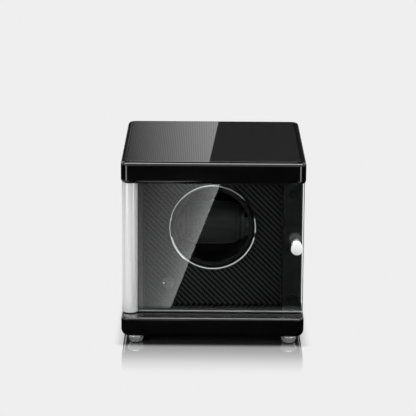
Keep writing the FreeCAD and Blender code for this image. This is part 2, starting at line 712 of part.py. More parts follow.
def make_trim_ring():
    sleeve = RING_INNER + RING_SLEEVE
    crest = (sleeve + RING_RADIUS) / 2
    steps = [(sleeve, -FASCIA_THICK), (sleeve, 0), (RING_RADIUS, 0), (RING_RADIUS, RING_PROUD / 2),
             ((RING_RADIUS - RING_BEVEL / 2, RING_PROUD - RING_BEVEL / 2), (crest, RING_PROUD)),
             (sleeve, RING_PROUD), (RING_INNER, RING_PROUD - RING_BEVEL)]
    return turned((RING_INNER, -FASCIA_THICK), steps, (0, FASCIA_FRONT, ROTOR_Z), -Y_AXIS)


def make_rotor_cup():
    """The winding cup: a drum with a turned-in rim, a closed back and a hub for the shaft."""
    rim_rear = CUP_FRONT + CUP_RIM_DEPTH
    hub_front = CUP_FLOOR - CUP_HUB
    bevel = CUP_RIM_BEVEL
    steps = [(CUP_MOUTH + bevel, CUP_FRONT), (CUP_RADIUS - bevel, CUP_FRONT), (CUP_RADIUS, CUP_FRONT + bevel),
             (CUP_RADIUS, CUP_REAR), (SHAFT_RADIUS, CUP_REAR), (SHAFT_RADIUS, hub_front),
             (CUP_HUB_RADIUS, hub_front), (CUP_HUB_RADIUS, CUP_FLOOR), (CUP_INNER, CUP_FLOOR),
             (CUP_INNER, rim_rear), (CUP_MOUTH, rim_rear)]
    cup = turned((CUP_MOUTH, CUP_FRONT + bevel), steps, (0, 0, ROTOR_Z), Y_AXIS)
    return cut_all(cup, [rod_y(SCREW_SHANK, x, z, CUP_FLOOR, CUP_REAR)
                         for x, z in on_circle(GEAR_SCREW_CIRCLE, GEAR_SCREWS)])


def on_circle(radius, count):
    """Evenly spaced places on a circle round the rotor's axis, the first at the top."""
    angles = [math.pi / 2 + 2 * math.pi * k / count for k in range(count)]
    return [(radius * math.cos(angle), ROTOR_Z + radius * math.sin(angle)) for angle in angles]


def make_cushion_rails():
    """Two grooved rails on the sides of the cup, closed at the back."""
    drum = rod_y(CUP_INNER - RUNNING_GAP, 0, ROTOR_Z, CUP_FRONT, CUP_REAR)
    groove_rear = CUSHION_Y + TONGUE_LENGTH / 2 + SLIDE_GAP
    rails = []
    for side in (-1, 1):
        x = sorted((side * (END_OUT + SLIDE_GAP), side * CUP_RADIUS))
        y = (CUP_FRONT + CUP_RIM_DEPTH, groove_rear + RAIL_STOP)
        rail = block(x, y, (ROTOR_Z - RAIL_HEIGHT / 2, ROTOR_Z + RAIL_HEIGHT / 2)).common(drum)
        groove_x = sorted((side * END_OUT, side * (END_OUT + TONGUE_REACH + SLIDE_GAP)))
        half = TONGUE_HEIGHT / 2 + SLIDE_GAP
        rails.append(rail.cut(block(groove_x, (y[0], groove_rear), (ROTOR_Z - half, ROTOR_Z + half))))
    return rails


def cushion_wire(x, height, depth):
    """A section of the cushion: a rounded rectangle whose four sides are crowned."""
    up = height / 2
    out = depth / 2
    corner = CUSHION_CORNER
    bend = corner * (1 - math.sqrt(0.5))

    def spot(y, z):
        return Vector(x, CUSHION_Y + y, ROTOR_Z + z)

    def crowned(a, via, b):
        return Part.Arc(spot(*a), spot(*via), spot(*b)).toShape()

    crown = CUSHION_CROWN
    side = out - crown
    lift = up - crown
    edges = []
    for sy, sz, first in ((1, 1, "y"), (1, -1, "z"), (-1, -1, "y"), (-1, 1, "z")):
        across = (sy * (side - corner), sz * lift)
        upright = (sy * side, sz * (lift - corner))
        round_via = (sy * (side - bend), sz * (lift - bend))
        if first == "y":
            edges.append(crowned((-across[0], across[1]), (0, sz * up), across))
            edges.append(crowned(across, round_via, upright))
        else:
            edges.append(crowned((upright[0], -upright[1]), (sy * out, 0), upright))
            edges.append(crowned(upright, round_via, across))
    return Part.Wire(edges)


def make_watch_cushion():
    """The padded cushion: crowned, with its ends drawn in, on a core that runs through it."""
    half = CUSHION_LENGTH / 2
    sections = []
    for k in range(CUSHION_STATIONS):
        along = math.sin(math.pi / 2 * (2 * k / (CUSHION_STATIONS - 1) - 1))
        draw = CUSHION_DRAW * along ** CUSHION_DRAW_POWER
        sections.append(cushion_wire(half * along, CUSHION_HEIGHT - 2 * draw, CUSHION_DEPTH - 2 * draw))
    pad = Part.makeLoft(sections, True, True)
    return pad.cut(core_block(half, CORE_GAP))


def core_block(half, gap):
    """The cushion's core, with a gap round it."""
    deep = CORE_DEPTH / 2 + gap
    tall = CORE_HEIGHT / 2 + gap
    return block((-half, half), (CUSHION_Y - deep, CUSHION_Y + deep), (ROTOR_Z - tall, ROTOR_Z + tall))


def core_tenons(side, gap):
    """The stub on one end of the core that plugs into an end cap."""
    deep = CORE_DEPTH / 2 - CORE_TENON_INSET + gap
    tall = CORE_HEIGHT / 2 - CORE_TENON_INSET + gap
    x = sorted((side * CUSHION_LENGTH / 2, side * (CUSHION_LENGTH / 2 + CORE_TENON + gap)))
    return block(x, (CUSHION_Y - deep, CUSHION_Y + deep), (ROTOR_Z - tall, ROTOR_Z + tall))


def make_cushion_core():
    bar = core_block(CUSHION_LENGTH / 2, 0.0)
    return bar.fuse([core_tenons(side, 0.0) for side in (-1, 1)]).removeSplitter()


def make_cushion_ends():
    """Two end caps, each with the tongue that slides in a rail."""
    caps = []
    for side in (-1, 1):
        x = sorted((side * CUSHION_LENGTH / 2, side * END_OUT))
        cap = block(x, (CUSHION_Y - END_DEPTH / 2, CUSHION_Y + END_DEPTH / 2),
                    (ROTOR_Z - END_HEIGHT / 2, ROTOR_Z + END_HEIGHT / 2))
        cap = rounded(cap, X_AXIS, END_CORNER)
        outer = [edge for edge in cap.Edges if abs(edge.BoundBox.XMin - side * END_OUT) < NEAR
                 and abs(edge.BoundBox.XMax - side * END_OUT) < NEAR]
        cap = cap.makeChamfer(END_EDGE, outer)
        tongue_x = sorted((side * END_OUT, side * (END_OUT + TONGUE_REACH)))
        tongue = block(tongue_x, (CUSHION_Y - TONGUE_LENGTH / 2, CUSHION_Y + TONGUE_LENGTH / 2),
                       (ROTOR_Z - TONGUE_HEIGHT / 2, ROTOR_Z + TONGUE_HEIGHT / 2))
        caps.append(cap.fuse(tongue).cut(core_tenons(side, SEAT_GAP)).removeSplitter())
    return caps


def gear_blank(teeth, x, z, front, rear, turn):
    """An involute spur gear along Y; turn is the direction of the middle of one tooth."""
    pitch = GEAR_MODULE * teeth / 2
    base = pitch * math.cos(PRESSURE_ANGLE)
    tip = pitch + GEAR_MODULE
    root = pitch - ROOT_SHARE * GEAR_MODULE
    start = max(root, base)
    half_tooth = (math.pi * GEAR_MODULE - BACKLASH) / (4 * pitch)

    def half_angle(radius):
        lean = math.acos(min(1.0, base / radius))
        return half_tooth + math.tan(PRESSURE_ANGLE) - PRESSURE_ANGLE - math.tan(lean) + lean

    def spot(radius, angle):
        return Vector(x + radius * math.cos(angle), front, z + radius * math.sin(angle))

    step = 2 * math.pi / teeth
    edges = []
    for k in range(teeth):
        middle = turn + k * step
        for side in (-1, 1):
            radii = (start, (start + tip) / 2, tip)
            flank = [spot(radius, middle + side * half_angle(radius)) for radius in radii]
            foot = spot(root, middle + side * half_angle(start))
            if start > root:
                edges.append(Part.LineSegment(foot, flank[0]).toShape())
            edges.append(Part.Arc(*flank).toShape())
        for radius, low, high in ((tip, -half_angle(tip), half_angle(tip)),
                                  (root, half_angle(start), step - half_angle(start))):
            ends = [spot(radius, middle + angle) for angle in (low, (low + high) / 2, high)]
            edges.append(Part.Arc(*ends).toShape())
    outline = Part.Wire(Part.__sortEdges__(edges))
    return Part.Face(outline).extrude(Y_AXIS * (rear - front))


def make_rotor_gear():
    """The wheel: a toothed rim, a thin web screwed to the cup, and a hub that runs on the front bush."""
    wheel = gear_blank(WHEEL_TEETH, 0, ROTOR_Z, CUP_REAR, GEAR_REAR, MOTOR_ANGLE)
    rim_inner = GEAR_MODULE * WHEEL_TEETH / 2 - GEAR_RIM
    web_rear = CUP_REAR + GEAR_WEB
    recess = rod_y(rim_inner, 0, ROTOR_Z, web_rear, GEAR_REAR)
    hub = rod_y(WHEEL_HUB_RADIUS, 0, ROTOR_Z, CUP_REAR, PLATE_REAR - ROTOR_BUSH_FLANGE - END_PLAY)
    spots = on_circle(GEAR_SCREW_CIRCLE, GEAR_SCREWS)
    holes = [rod_y(SCREW_SHANK, x, z, CUP_REAR, web_rear) for x, z in spots]
    holes.append(rod_y(SHAFT_RADIUS, 0, ROTOR_Z, CUP_REAR, PLATE_REAR))
    return cut_all(wheel.cut(recess).fuse(hub), holes)


def make_gear_screws():
    seat = CUP_REAR + GEAR_WEB
    return [pan_screw((x, seat, z), -Y_AXIS, GEAR_WEB + CUP_BACK)
            for x, z in on_circle(GEAR_SCREW_CIRCLE, GEAR_SCREWS)]


def make_rotor_shaft():
    shaft = rod_y(SHAFT_RADIUS, 0, ROTOR_Z, CUP_FLOOR - CUP_HUB, SHAFT_END)
    rear = CLIP_FRONT + CLIP_THICK
    ring = rod_y(SHAFT_RADIUS, 0, ROTOR_Z, CLIP_FRONT, rear)
    return shaft.cut(ring.cut(rod_y(SHAFT_RADIUS - CLIP_GROOVE, 0, ROTOR_Z, CLIP_FRONT, rear)))


def make_shaft_clip():
    """A retaining ring in the shaft's groove, open on one side."""
    rear = CLIP_FRONT + CLIP_THICK
    ring = rod_y(CLIP_RADIUS, 0, ROTOR_Z, CLIP_FRONT, rear)
    mouth = block((-CLIP_MOUTH / 2, CLIP_MOUTH / 2), (CLIP_FRONT, rear), (ROTOR_Z - CLIP_RADIUS, ROTOR_Z))
    return ring.cut([rod_y(SHAFT_RADIUS - CLIP_GROOVE, 0, ROTOR_Z, CLIP_FRONT, rear), mouth])


def make_bearing_block():
    """The flanged block behind the plate that holds the two bushes."""
    bore = ROTOR_BUSH_RADIUS
    flange_rear = PLATE_REAR + BLOCK_FLANGE
    steps = [(BLOCK_RADIUS, PLATE_REAR), (BLOCK_RADIUS, flange_rear), (BLOCK_BOSS_RADIUS, flange_rear),
             (BLOCK_BOSS_RADIUS, BLOCK_REAR), (bore, BLOCK_REAR)]
    body = turned((bore, PLATE_REAR), steps, (0, 0, ROTOR_Z), Y_AXIS)
    return cut_all(body, [rod_y(SCREW_SHANK + SEAT_GAP, x, z, PLATE_REAR, flange_rear)
                          for x, z in on_circle(BLOCK_SCREW_CIRCLE, BLOCK_SCREWS)])


def make_rotor_bushes():
    """Two flanged bushes, one in each end of the block."""
    steps = [(ROTOR_BUSH_FLANGE_RADIUS, -ROTOR_BUSH_FLANGE), (ROTOR_BUSH_FLANGE_RADIUS, 0),
             (ROTOR_BUSH_RADIUS, 0), (ROTOR_BUSH_RADIUS, ROTOR_BUSH_LENGTH),
             (ROTOR_BUSH_BORE, ROTOR_BUSH_LENGTH)]
    return [turned((ROTOR_BUSH_BORE, -ROTOR_BUSH_FLANGE), steps, (0, seat, ROTOR_Z), direction)
            for seat, direction in ((PLATE_REAR, Y_AXIS), (BLOCK_REAR, -Y_AXIS))]


def make_block_screws():
    return [pan_screw((x, PLATE_REAR + BLOCK_FLANGE, z), -Y_AXIS, BLOCK_FLANGE + PLATE_THICK)
            for x, z in on_circle(BLOCK_SCREW_CIRCLE, BLOCK_SCREWS)]


def motor_screw_spots():
    """The two motor screws, square to the line between the two gear axes."""
    across = MOTOR_ANGLE + math.pi / 2
    return [(MOTOR_X + side * MOTOR_SCREW_SPREAD * math.cos(across),
             MOTOR_Z + side * MOTOR_SCREW_SPREAD * math.sin(across)) for side in (-1, 1)]


def make_drive_plate():
    half = PILLAR_X + PLATE_MARGIN
    plate = block((-half, half), (PLATE_FRONT, PLATE_REAR),
                  (PILLAR_LOW - PLATE_MARGIN, PILLAR_TOP + PLATE_MARGIN))
    plate = rounded(plate, Y_AXIS, PLATE_CORNER)
    holes = [(ROTOR_BUSH_FLANGE_RADIUS + SEAT_GAP, 0, ROTOR_Z), (PILOT_RADIUS + SEAT_GAP, MOTOR_X, MOTOR_Z)]
    holes += [(SCREW_SHANK, x, z) for x, z in on_circle(BLOCK_SCREW_CIRCLE, BLOCK_SCREWS)]
    holes += [(SCREW_SHANK + SEAT_GAP, x, z) for x, z in motor_screw_spots() + PILLARS]
    return cut_all(plate, [rod_y(radius, x, z, PLATE_FRONT, PLATE_REAR) for radius, x, z in holes])


def make_plate_pillars():
    """Four turned pillars, glued to the panel by a broad foot and tapped at the back."""
    sunk = PLATE_FRONT - PILLAR_SCREW_BITE - HOLE_SPARE
    foot_rear = FASCIA_REAR + PILLAR_FOOT
    steps = [(PILLAR_FOOT_RADIUS, FASCIA_REAR), (PILLAR_FOOT_RADIUS, foot_rear), (PILLAR_RADIUS, foot_rear),
             (PILLAR_RADIUS, PLATE_FRONT), (SCREW_SHANK, PLATE_FRONT), (SCREW_SHANK, sunk), (0, sunk)]
    return [turned((0, FASCIA_REAR), steps, (x, 0, z), Y_AXIS) for x, z in PILLARS]


def make_pillar_screws():
    return [pan_screw((x, PLATE_REAR, z), -Y_AXIS, PLATE_THICK + PILLAR_SCREW_BITE) for x, z in PILLARS]


def make_gearbox():
    """The round gear head behind the plate, with its pilot in the plate's hole."""
    bore = MOTOR_SHAFT_RADIUS + RUNNING_GAP
    bottom = PLATE_REAR + MOTOR_SHAFT_SUNK
    steps = [(PILOT_RADIUS, PLATE_FRONT), (PILOT_RADIUS, PLATE_REAR),
             (GEARBOX_RADIUS - GEARBOX_EDGE, PLATE_REAR), (GEARBOX_RADIUS, PLATE_REAR + GEARBOX_EDGE),
             (GEARBOX_RADIUS, GEARBOX_REAR), (0, GEARBOX_REAR), (0, bottom), (bore, bottom)]
    body = turned((bore, PLATE_FRONT), steps, (MOTOR_X, 0, MOTOR_Z), Y_AXIS)
    return cut_all(body, [rod_y(SCREW_SHANK, x, z, PLATE_REAR, PLATE_REAR + MOTOR_SCREW_BITE)
                          for x, z in motor_screw_spots()])


def make_motor():
    """The motor can: two flats, a rounded back edge, a bearing cap and a terminal block underneath."""
    steps = [(MOTOR_RADIUS, GEARBOX_REAR), (MOTOR_RADIUS, MOTOR_REAR - MOTOR_EDGE),
             (MOTOR_RADIUS - MOTOR_EDGE, MOTOR_REAR), (MOTOR_CAP_RADIUS, MOTOR_REAR),
             (MOTOR_CAP_RADIUS, MOTOR_REAR + MOTOR_CAP), (0, MOTOR_REAR + MOTOR_CAP)]
    can = turned((0, GEARBOX_REAR), steps, (MOTOR_X, 0, MOTOR_Z), Y_AXIS)
    flat = MOTOR_RADIUS - MOTOR_FLAT
    for side in (-1, 1):
        x = sorted((MOTOR_X + side * flat, MOTOR_X + side * 2 * MOTOR_RADIUS))
        can = can.cut(block(x, (GEARBOX_REAR, MOTOR_REAR), (MOTOR_Z - MOTOR_RADIUS, MOTOR_Z + MOTOR_RADIUS)))
    half = TERMINAL_SIZE / 2
    terminal = block((MOTOR_X - half, MOTOR_X + half), (TERMINAL_Y - half, TERMINAL_Y + half),
                     (TERMINAL_LOW, MOTOR_Z))
    return can.fuse(terminal).removeSplitter()


def make_motor_screws():
    reach = PLATE_THICK + MOTOR_SCREW_BITE
    return [pan_screw((x, PLATE_FRONT, z), Y_AXIS, reach) for x, z in motor_screw_spots()]


def make_motor_shaft():
    rear = PLATE_REAR + MOTOR_SHAFT_SUNK - END_PLAY
    return rod_y(MOTOR_SHAFT_RADIUS, MOTOR_X, MOTOR_Z, CUP_REAR + PINION_GAP, rear)


def make_motor_pinion():
    """The pinion: a gap between two of its teeth faces the wheel's tooth."""
    front = CUP_REAR + PINION_GAP
    turn = MOTOR_ANGLE + math.pi + math.pi / PINION_TEETH
    pinion = gear_blank(PINION_TEETH, MOTOR_X, MOTOR_Z, front, front + GEAR_FACE, turn)
    return pinion.cut(rod_y(MOTOR_SHAFT_RADIUS, MOTOR_X, MOTOR_Z, front, front + GEAR_FACE))


def make_selector_knob():
    """A round knob with a soft front edge, hollow behind to clear the nut."""
    roof = SELECTOR_HEIGHT - SELECTOR_ROOF
    skirt = SELECTOR_RADIUS - SELECTOR_SKIRT
    edge = SELECTOR_ROUND
    bend = edge * (1 - math.sqrt(0.5))
    steps = [(SELECTOR_RADIUS, 0), (SELECTOR_RADIUS, SELECTOR_HEIGHT - edge),
             ((SELECTOR_RADIUS - bend, SELECTOR_HEIGHT - bend), (SELECTOR_RADIUS - edge, SELECTOR_HEIGHT)),
             (0, SELECTOR_HEIGHT), (0, roof), (SELECTOR_SHAFT_RADIUS, roof),
             (SELECTOR_SHAFT_RADIUS, SELECTOR_SKIRT_DEPTH), (skirt, SELECTOR_SKIRT_DEPTH)]
    knob = turned((skirt, 0), steps, (SELECTOR_X, KNOB_SEAT, SELECTOR_Z), -Y_AXIS)
    return knob.cut(pointer_dot(DOT_RADIUS, 0.0))


def pointer_dot(radius, proud):
    """The round inlay that marks the knob's setting."""
    face = KNOB_SEAT - SELECTOR_HEIGHT
    return rod_y(radius, SELECTOR_X - DOT_OFFSET, SELECTOR_Z, face - proud, face + DOT_SUNK)


def make_selector_dot():
    return pointer_dot(DOT_RADIUS, DOT_PROUD)


def make_selector_shaft():
    front = KNOB_SEAT - SELECTOR_HEIGHT + SELECTOR_ROOF
    return rod_y(SELECTOR_SHAFT_RADIUS, SELECTOR_X, SELECTOR_Z, front, FASCIA_REAR + SELECTOR_SHAFT_SUNK)


def make_selector_switch():
    """The rotary switch: a square body behind the panel and a threaded bush through it."""
    half = SWITCH_SIZE / 2
    body = block((SELECTOR_X - half, SELECTOR_X + half), (FASCIA_REAR, BOARD_FRONT),
                 (SELECTOR_Z - half, SELECTOR_Z + half))
    bush_front = FASCIA_FRONT - NUT_THICK - NUT_THREAD_SPARE
    bush = rod_y(SWITCH_BUSH_RADIUS, SELECTOR_X, SELECTOR_Z, bush_front, FASCIA_REAR)
    bore = rod_y(SELECTOR_SHAFT_RADIUS + RUNNING_GAP, SELECTOR_X, SELECTOR_Z, bush_front,
                 FASCIA_REAR + SELECTOR_SHAFT_SUNK + END_PLAY)
    return body.fuse(bush).cut(bore).removeSplitter()


def make_selector_nut():
    front = FASCIA_FRONT - NUT_THICK
    return hexagon_nut(NUT_FLATS, NUT_THICK, SWITCH_BUSH_RADIUS, SELECTOR_X, SELECTOR_Z, front)


def make_control_board():
    board = block((BOARD_LEFT, BOARD_RIGHT), (BOARD_FRONT, BOARD_REAR), (BOARD_LOW, BOARD_TOP))
    return cut_all(board, [rod_y(SCREW_SHANK + SEAT_GAP, x, z, BOARD_FRONT, BOARD_REAR) for x, z in SPACERS])


def make_board_spacers():
    spacers = []
    for x, z in SPACERS:
        tube = rod_y(SPACER_RADIUS, x, z, FASCIA_REAR, BOARD_FRONT)
        spacers.append(tube.cut(rod_y(SCREW_SHANK, x, z, FASCIA_REAR, BOARD_FRONT)))
    return spacers


def make_board_screws():
    return [pan_screw((x, BOARD_REAR, z), -Y_AXIS, BOARD_THICK + SWITCH_DEPTH - END_PLAY) for x, z in SPACERS]


def on_board(offset, width, height, depth):
    """A box on the back of the board, placed along it from the selector's axis."""
    x = SELECTOR_X + offset
    return block((x - width / 2, x + width / 2), (BOARD_REAR, BOARD_REAR + depth),
                 (BOARD_MID - height / 2, BOARD_MID + height / 2))


def make_control_chip():
    return on_board(CHIP_OFFSET, CHIP_LENGTH, CHIP_HEIGHT, CHIP_THICK)


def make_capacitor():
    steps = [(CAPACITOR_RADIUS, 0), (CAPACITOR_RADIUS, CAPACITOR_LENGTH - CAPACITOR_EDGE),
             (CAPACITOR_RADIUS - CAPACITOR_EDGE, CAPACITOR_LENGTH), (0, CAPACITOR_LENGTH)]
    return turned((0, 0), steps, (SELECTOR_X + CAPACITOR_OFFSET, BOARD_REAR, BOARD_MID), Y_AXIS)


def make_lead_plugs():
    offsets = (POWER_PLUG_OFFSET, MOTOR_PLUG_OFFSET)
    return [on_board(offset, PLUG_WIDTH, PLUG_HEIGHT, PLUG_DEPTH) for offset in offsets]


def make_power_jack():
    """A round power inlet: a flange outside, a threaded barrel through the panel, a pin in its bore."""
    mouth = WALL_REAR + JACK_FLANGE
    steps = [(0, JACK_FLANGE - JACK_BARREL), (JACK_BARREL_RADIUS, JACK_FLANGE - JACK_BARREL),
             (JACK_BARREL_RADIUS, 0), (JACK_FLANGE_RADIUS, 0), (JACK_FLANGE_RADIUS, JACK_FLANGE),
             (JACK_BORE_RADIUS, JACK_FLANGE), (JACK_BORE_RADIUS, JACK_FLANGE - JACK_BORE),
             (JACK_PIN_RADIUS, JACK_FLANGE - JACK_BORE), (JACK_PIN_RADIUS, JACK_FLANGE - JACK_PIN_SHORT)]
    return turned((0, JACK_FLANGE - JACK_PIN_SHORT), steps, (JACK_X, mouth - JACK_FLANGE, JACK_Z), Y_AXIS)


def make_power_jack_nut():
    front = BACK_INNER - JACK_NUT_THICK
    return hexagon_nut(JACK_NUT_FLATS, JACK_NUT_THICK, JACK_BARREL_RADIUS, JACK_X, JACK_Z, front)


def lead_tube(name, route):
    """A round lead along straight runs joined by tangent arcs, each as large as its runs allow."""
    points = [Vector(*spot) for spot in route]
    edges = []
    radii = []
    here = points[0]
    for before, corner, after in zip(points, points[1:], points[2:]):
        back = (before - corner).normalize()
        ahead = (after - corner).normalize()
        half_turn = (math.pi - back.getAngle(ahead)) / 2
        tangent = BEND_SHARE * min((before - corner).Length, (after - corner).Length)
        radius = tangent / math.tan(half_turn)
        inward = (back + ahead).normalize()
        middle = corner + inward * (radius / math.cos(half_turn) - radius)
        arc_start = corner + back * tangent
        arc_end = corner + ahead * tangent
        edges.append(Part.LineSegment(here, arc_start).toShape())
        edges.append(Part.Arc(arc_start, middle, arc_end).toShape())
        radii.append(round(radius, 1))
        here = arc_end
    edges.append(Part.LineSegment(here, points[-1]).toShape())
    path = Part.Wire(edges)
    section = Part.Wire([Part.makeCircle(LEAD_RADIUS, points[0], points[1] - points[0])])
    tube = path.makePipeShell([section], True, False)
    expected = math.pi * LEAD_RADIUS ** 2 * path.Length
    print(name, "bend radii", radii, "volume share", round(tube.Volume / expected, 3))
    return tube


def make_motor_lead():
    start = (SELECTOR_X + MOTOR_PLUG_OFFSET, BOARD_REAR + PLUG_DEPTH, BOARD_MID)
    route = [start, (start[0], start[1] + 24, start[2]), (2, 22, 41), (14, 36, 41), (MOTOR_X, TERMINAL_Y, 53),
             (MOTOR_X, TERMINAL_Y, TERMINAL_LOW)]
    return lead_tube("motor lead", route)


def make_power_lead():
    start = (SELECTOR_X + POWER_PLUG_OFFSET, BOARD_REAR + PLUG_DEPTH, BOARD_MID)
    jack_rear = WALL_REAR + JACK_FLANGE - JACK_BARREL
    route = [start, (start[0], start[1] + 24, start[2]), (-8, 24, 36), (14, 40, 35), (36, 52, 40),
             (JACK_X, jack_rear - 14, JACK_Z), (JACK_X, jack_rear, JACK_Z)]
    return lead_tube("power lead", route)


PIECES = [
    make_base_slab, make_lid_slab, make_lid_inlay, make_feet, make_foot_pads, make_foot_screws,
    make_left_wall, make_right_wall, make_wall_dowels, make_back_panel, make_back_screws,
    make_hinge_post, make_post_pins, make_lower_hinge_bush, make_upper_hinge_bush, make_door_glass,
    make_door_knob, make_knob_washers, make_knob_screw, make_catch_magnet, make_door_bumpers,
    make_fascia, make_fascia_battens, make_trim_ring, make_rotor_cup, make_cushion_rails,
    make_watch_cushion, make_cushion_core, make_cushion_ends, make_rotor_gear, make_gear_screws,
    make_rotor_shaft, make_shaft_clip, make_bearing_block, make_rotor_bushes, make_block_screws,
    make_drive_plate, make_plate_pillars, make_pillar_screws, make_gearbox, make_motor,
    make_motor_screws, make_motor_shaft, make_motor_pinion, make_selector_knob, make_selector_dot,
    make_selector_shaft, make_selector_switch, make_selector_nut, make_control_board,
    make_board_spacers, make_board_screws, make_control_chip, make_capacitor, make_lead_plugs,
    make_power_jack, make_power_jack_nut, make_motor_lead, make_power_lead,
]

os.makedirs("parts", exist_ok=True)
for make in PIECES:
    made = make()
    shape = Part.Compound(made) if isinstance(made, list) else made
    shape.exportStep("parts/" + make.__name__.removeprefix("make_") + ".step")
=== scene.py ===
import math

import bpy
from mathutils import Matrix, Vector, noise
from mathutils.bvhtree import BVHTree


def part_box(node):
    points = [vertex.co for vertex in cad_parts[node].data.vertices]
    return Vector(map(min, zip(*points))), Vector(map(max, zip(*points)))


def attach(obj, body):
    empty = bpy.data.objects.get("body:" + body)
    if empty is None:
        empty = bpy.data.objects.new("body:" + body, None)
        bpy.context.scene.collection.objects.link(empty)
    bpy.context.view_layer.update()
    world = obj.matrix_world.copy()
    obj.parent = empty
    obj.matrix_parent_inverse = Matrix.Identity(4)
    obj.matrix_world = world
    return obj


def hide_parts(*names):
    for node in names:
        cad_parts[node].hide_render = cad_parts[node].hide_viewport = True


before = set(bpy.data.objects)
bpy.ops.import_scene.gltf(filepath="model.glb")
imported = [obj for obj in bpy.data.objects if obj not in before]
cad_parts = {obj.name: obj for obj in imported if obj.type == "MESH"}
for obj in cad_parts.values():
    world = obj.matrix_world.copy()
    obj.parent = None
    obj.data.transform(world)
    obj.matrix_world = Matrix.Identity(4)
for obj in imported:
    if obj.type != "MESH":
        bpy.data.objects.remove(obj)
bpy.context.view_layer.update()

# Base slab: a fibreboard plate with rounded edges, sprayed with many coats of black polyester lacquer
# and buffed to a piano gloss. The walls are dowelled on top of it and the feet are screwed under it.


class Wire:
    """One output in a finish's node tree. Arithmetic on wires adds Math nodes."""

    def __init__(self, tree, socket=None):
        self.tree = tree
        self.socket = socket

    def node(self, kind, settings=None, values=None, output=0):
        """Adds a node: its settings first, then the values or wires of its sockets."""
        made = self.tree.nodes.new(kind)
        for name, value in (settings or {}).items():
            setattr(made, name, value)
        for name, value in (values or {}).items():
            if isinstance(value, Wire):
                self.tree.links.new(value.socket, made.inputs[name])
            else:
                made.inputs[name].default_value = value
        return Wire(self.tree, made.outputs[output])

    def maths(self, operation, first, second=0.0):
        return self.node("ShaderNodeMath", {"operation": operation}, {0: first, 1: second})

    def __add__(self, other):
        return self.maths("ADD", self, other)

    def __sub__(self, other):
        return self.maths("SUBTRACT", self, other)

    def __rsub__(self, other):
        return self.maths("SUBTRACT", other, self)

    def __mul__(self, other):
        return self.maths("MULTIPLY", self, other)

    def __truediv__(self, other):
        return self.maths("DIVIDE", self, other)

    def __mod__(self, other):
        return self.maths("FLOORED_MODULO", self, other)

    def __lt__(self, other):
        return self.maths("LESS_THAN", self, other)

    def __gt__(self, other):
        return self.maths("GREATER_THAN", self, other)

    def __abs__(self):
        return self.maths("ABSOLUTE", self)

    __radd__ = __add__
    __rmul__ = __mul__

    def at_least(self, low):
        return self.maths("MAXIMUM", self, low)

    def at_most(self, high):
        return self.maths("MINIMUM", self, high)

    def axis(self, name):
        return self.node("ShaderNodeSeparateXYZ", None, {"Vector": self}, name)

    def stretched(self, x, y, z):
        """These coordinates, scaled by a factor for each axis."""
        return self.node("ShaderNodeVectorMath", {"operation": "MULTIPLY"}, {0: self, 1: (x, y, z)})

    def cloud(self, scale, detail=2.0, rough=0.5):
        return self.node("ShaderNodeTexNoise", None,
                         {"Vector": self, "Scale": scale, "Detail": detail, "Roughness": rough})

    def ramp(self, low, high):
        """0 where this value is at low, 1 at high, and smooth between."""
        return self.node("ShaderNodeMapRange", {"interpolation_type": "SMOOTHSTEP"},
                         {"Value": self, "From Min": low, "From Max": high})

    def level(self, low, high):
        """This share of the way from low to high."""
        return self * (high - low) + low

    def colour(self, first, second):
        """The colour this share of the way between two, each a grey level, a triple or a wire."""
        def tint(one):
            if isinstance(one, Wire):
                return one
            return (one, one, one, 1.0) if isinstance(one, float) else (*one, 1.0)
        sockets = {0: self, 6: tint(first), 7: tint(second)}
        return self.node("ShaderNodeMix", {"data_type": "RGBA"}, sockets, 2)

    def bump(self, depth, strength):
        """A Normal from this height, which is depth metres at 1."""
        return self.node("ShaderNodeBump", None,
                         {"Height": self, "Distance": depth, "Strength": strength})


def new_finish(name, values):
    """A Principled material with these constants, its Object coordinates and its linker."""
    material = bpy.data.materials.new(name)
    material.use_nodes = True
    shader = material.node_tree.nodes["Principled BSDF"]
    for socket, value in values.items():
        shader.inputs[socket].default_value = value

    def drive(socket, wire):
        material.node_tree.links.new(wire.socket, shader.inputs[socket])

    return material, Wire(material.node_tree).node("ShaderNodeTexCoord", output="Object"), drive


def dress(material, *names):
    """Gives CAD nodes their finish."""
    for name in names:
        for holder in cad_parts[name].material_slots:
            holder.material = material


lacquer, place, drive = new_finish("black_lacquer", {"Coat Weight": 1.0, "Coat Roughness": 0.015,
                                                     "Specular IOR Level": 0.1})
haze = place.cloud(38.0, 3.0)
drive("Base Color", haze.colour(0.0012, 0.0030))
drive("Roughness", haze.level(0.05, 0.12))
drive("Normal", place.cloud(70.0, 1.0).bump(0.00002, 0.12))
dress(lacquer, "base_slab")

# Feet: four cast and polished chrome feet with eight lobes, tapering to the floor. Each is held by one
# screw from below, which its rubber pad covers.
foot_chrome, place, drive = new_finish("foot_chrome", {"Metallic": 0.75})
smear = place.cloud(180.0, 4.0)
drive("Base Color", smear.colour((0.66, 0.67, 0.68), (0.80, 0.80, 0.80)))
drive("Roughness", smear.level(0.10, 0.20))
dress(foot_chrome, "feet")

rubber, place, drive = new_finish("pad_rubber", {"Specular IOR Level": 0.3})
pores = place.cloud(2600.0, 2.0)
drive("Base Color", place.cloud(300.0).colour(0.016, 0.028))
drive("Roughness", pores.level(0.65, 0.9))
drive("Normal", pores.bump(0.00005, 0.6))
dress(rubber, "foot_pads")

steel, place, drive = new_finish("plated_steel", {"Metallic": 1.0})
turning = place.stretched(1.0, 1.0, 14.0).cloud(600.0, 3.0)
drive("Base Color", turning.colour((0.50, 0.51, 0.53), (0.64, 0.65, 0.66)))
drive("Roughness", turning.level(0.22, 0.38))
dress(steel, "foot_screws", "gear_screws", "block_screws", "pillar_screws", "motor_screws",
      "board_screws", "rotor_shaft", "motor_shaft", "shaft_clip", "post_pins", "catch_magnet")

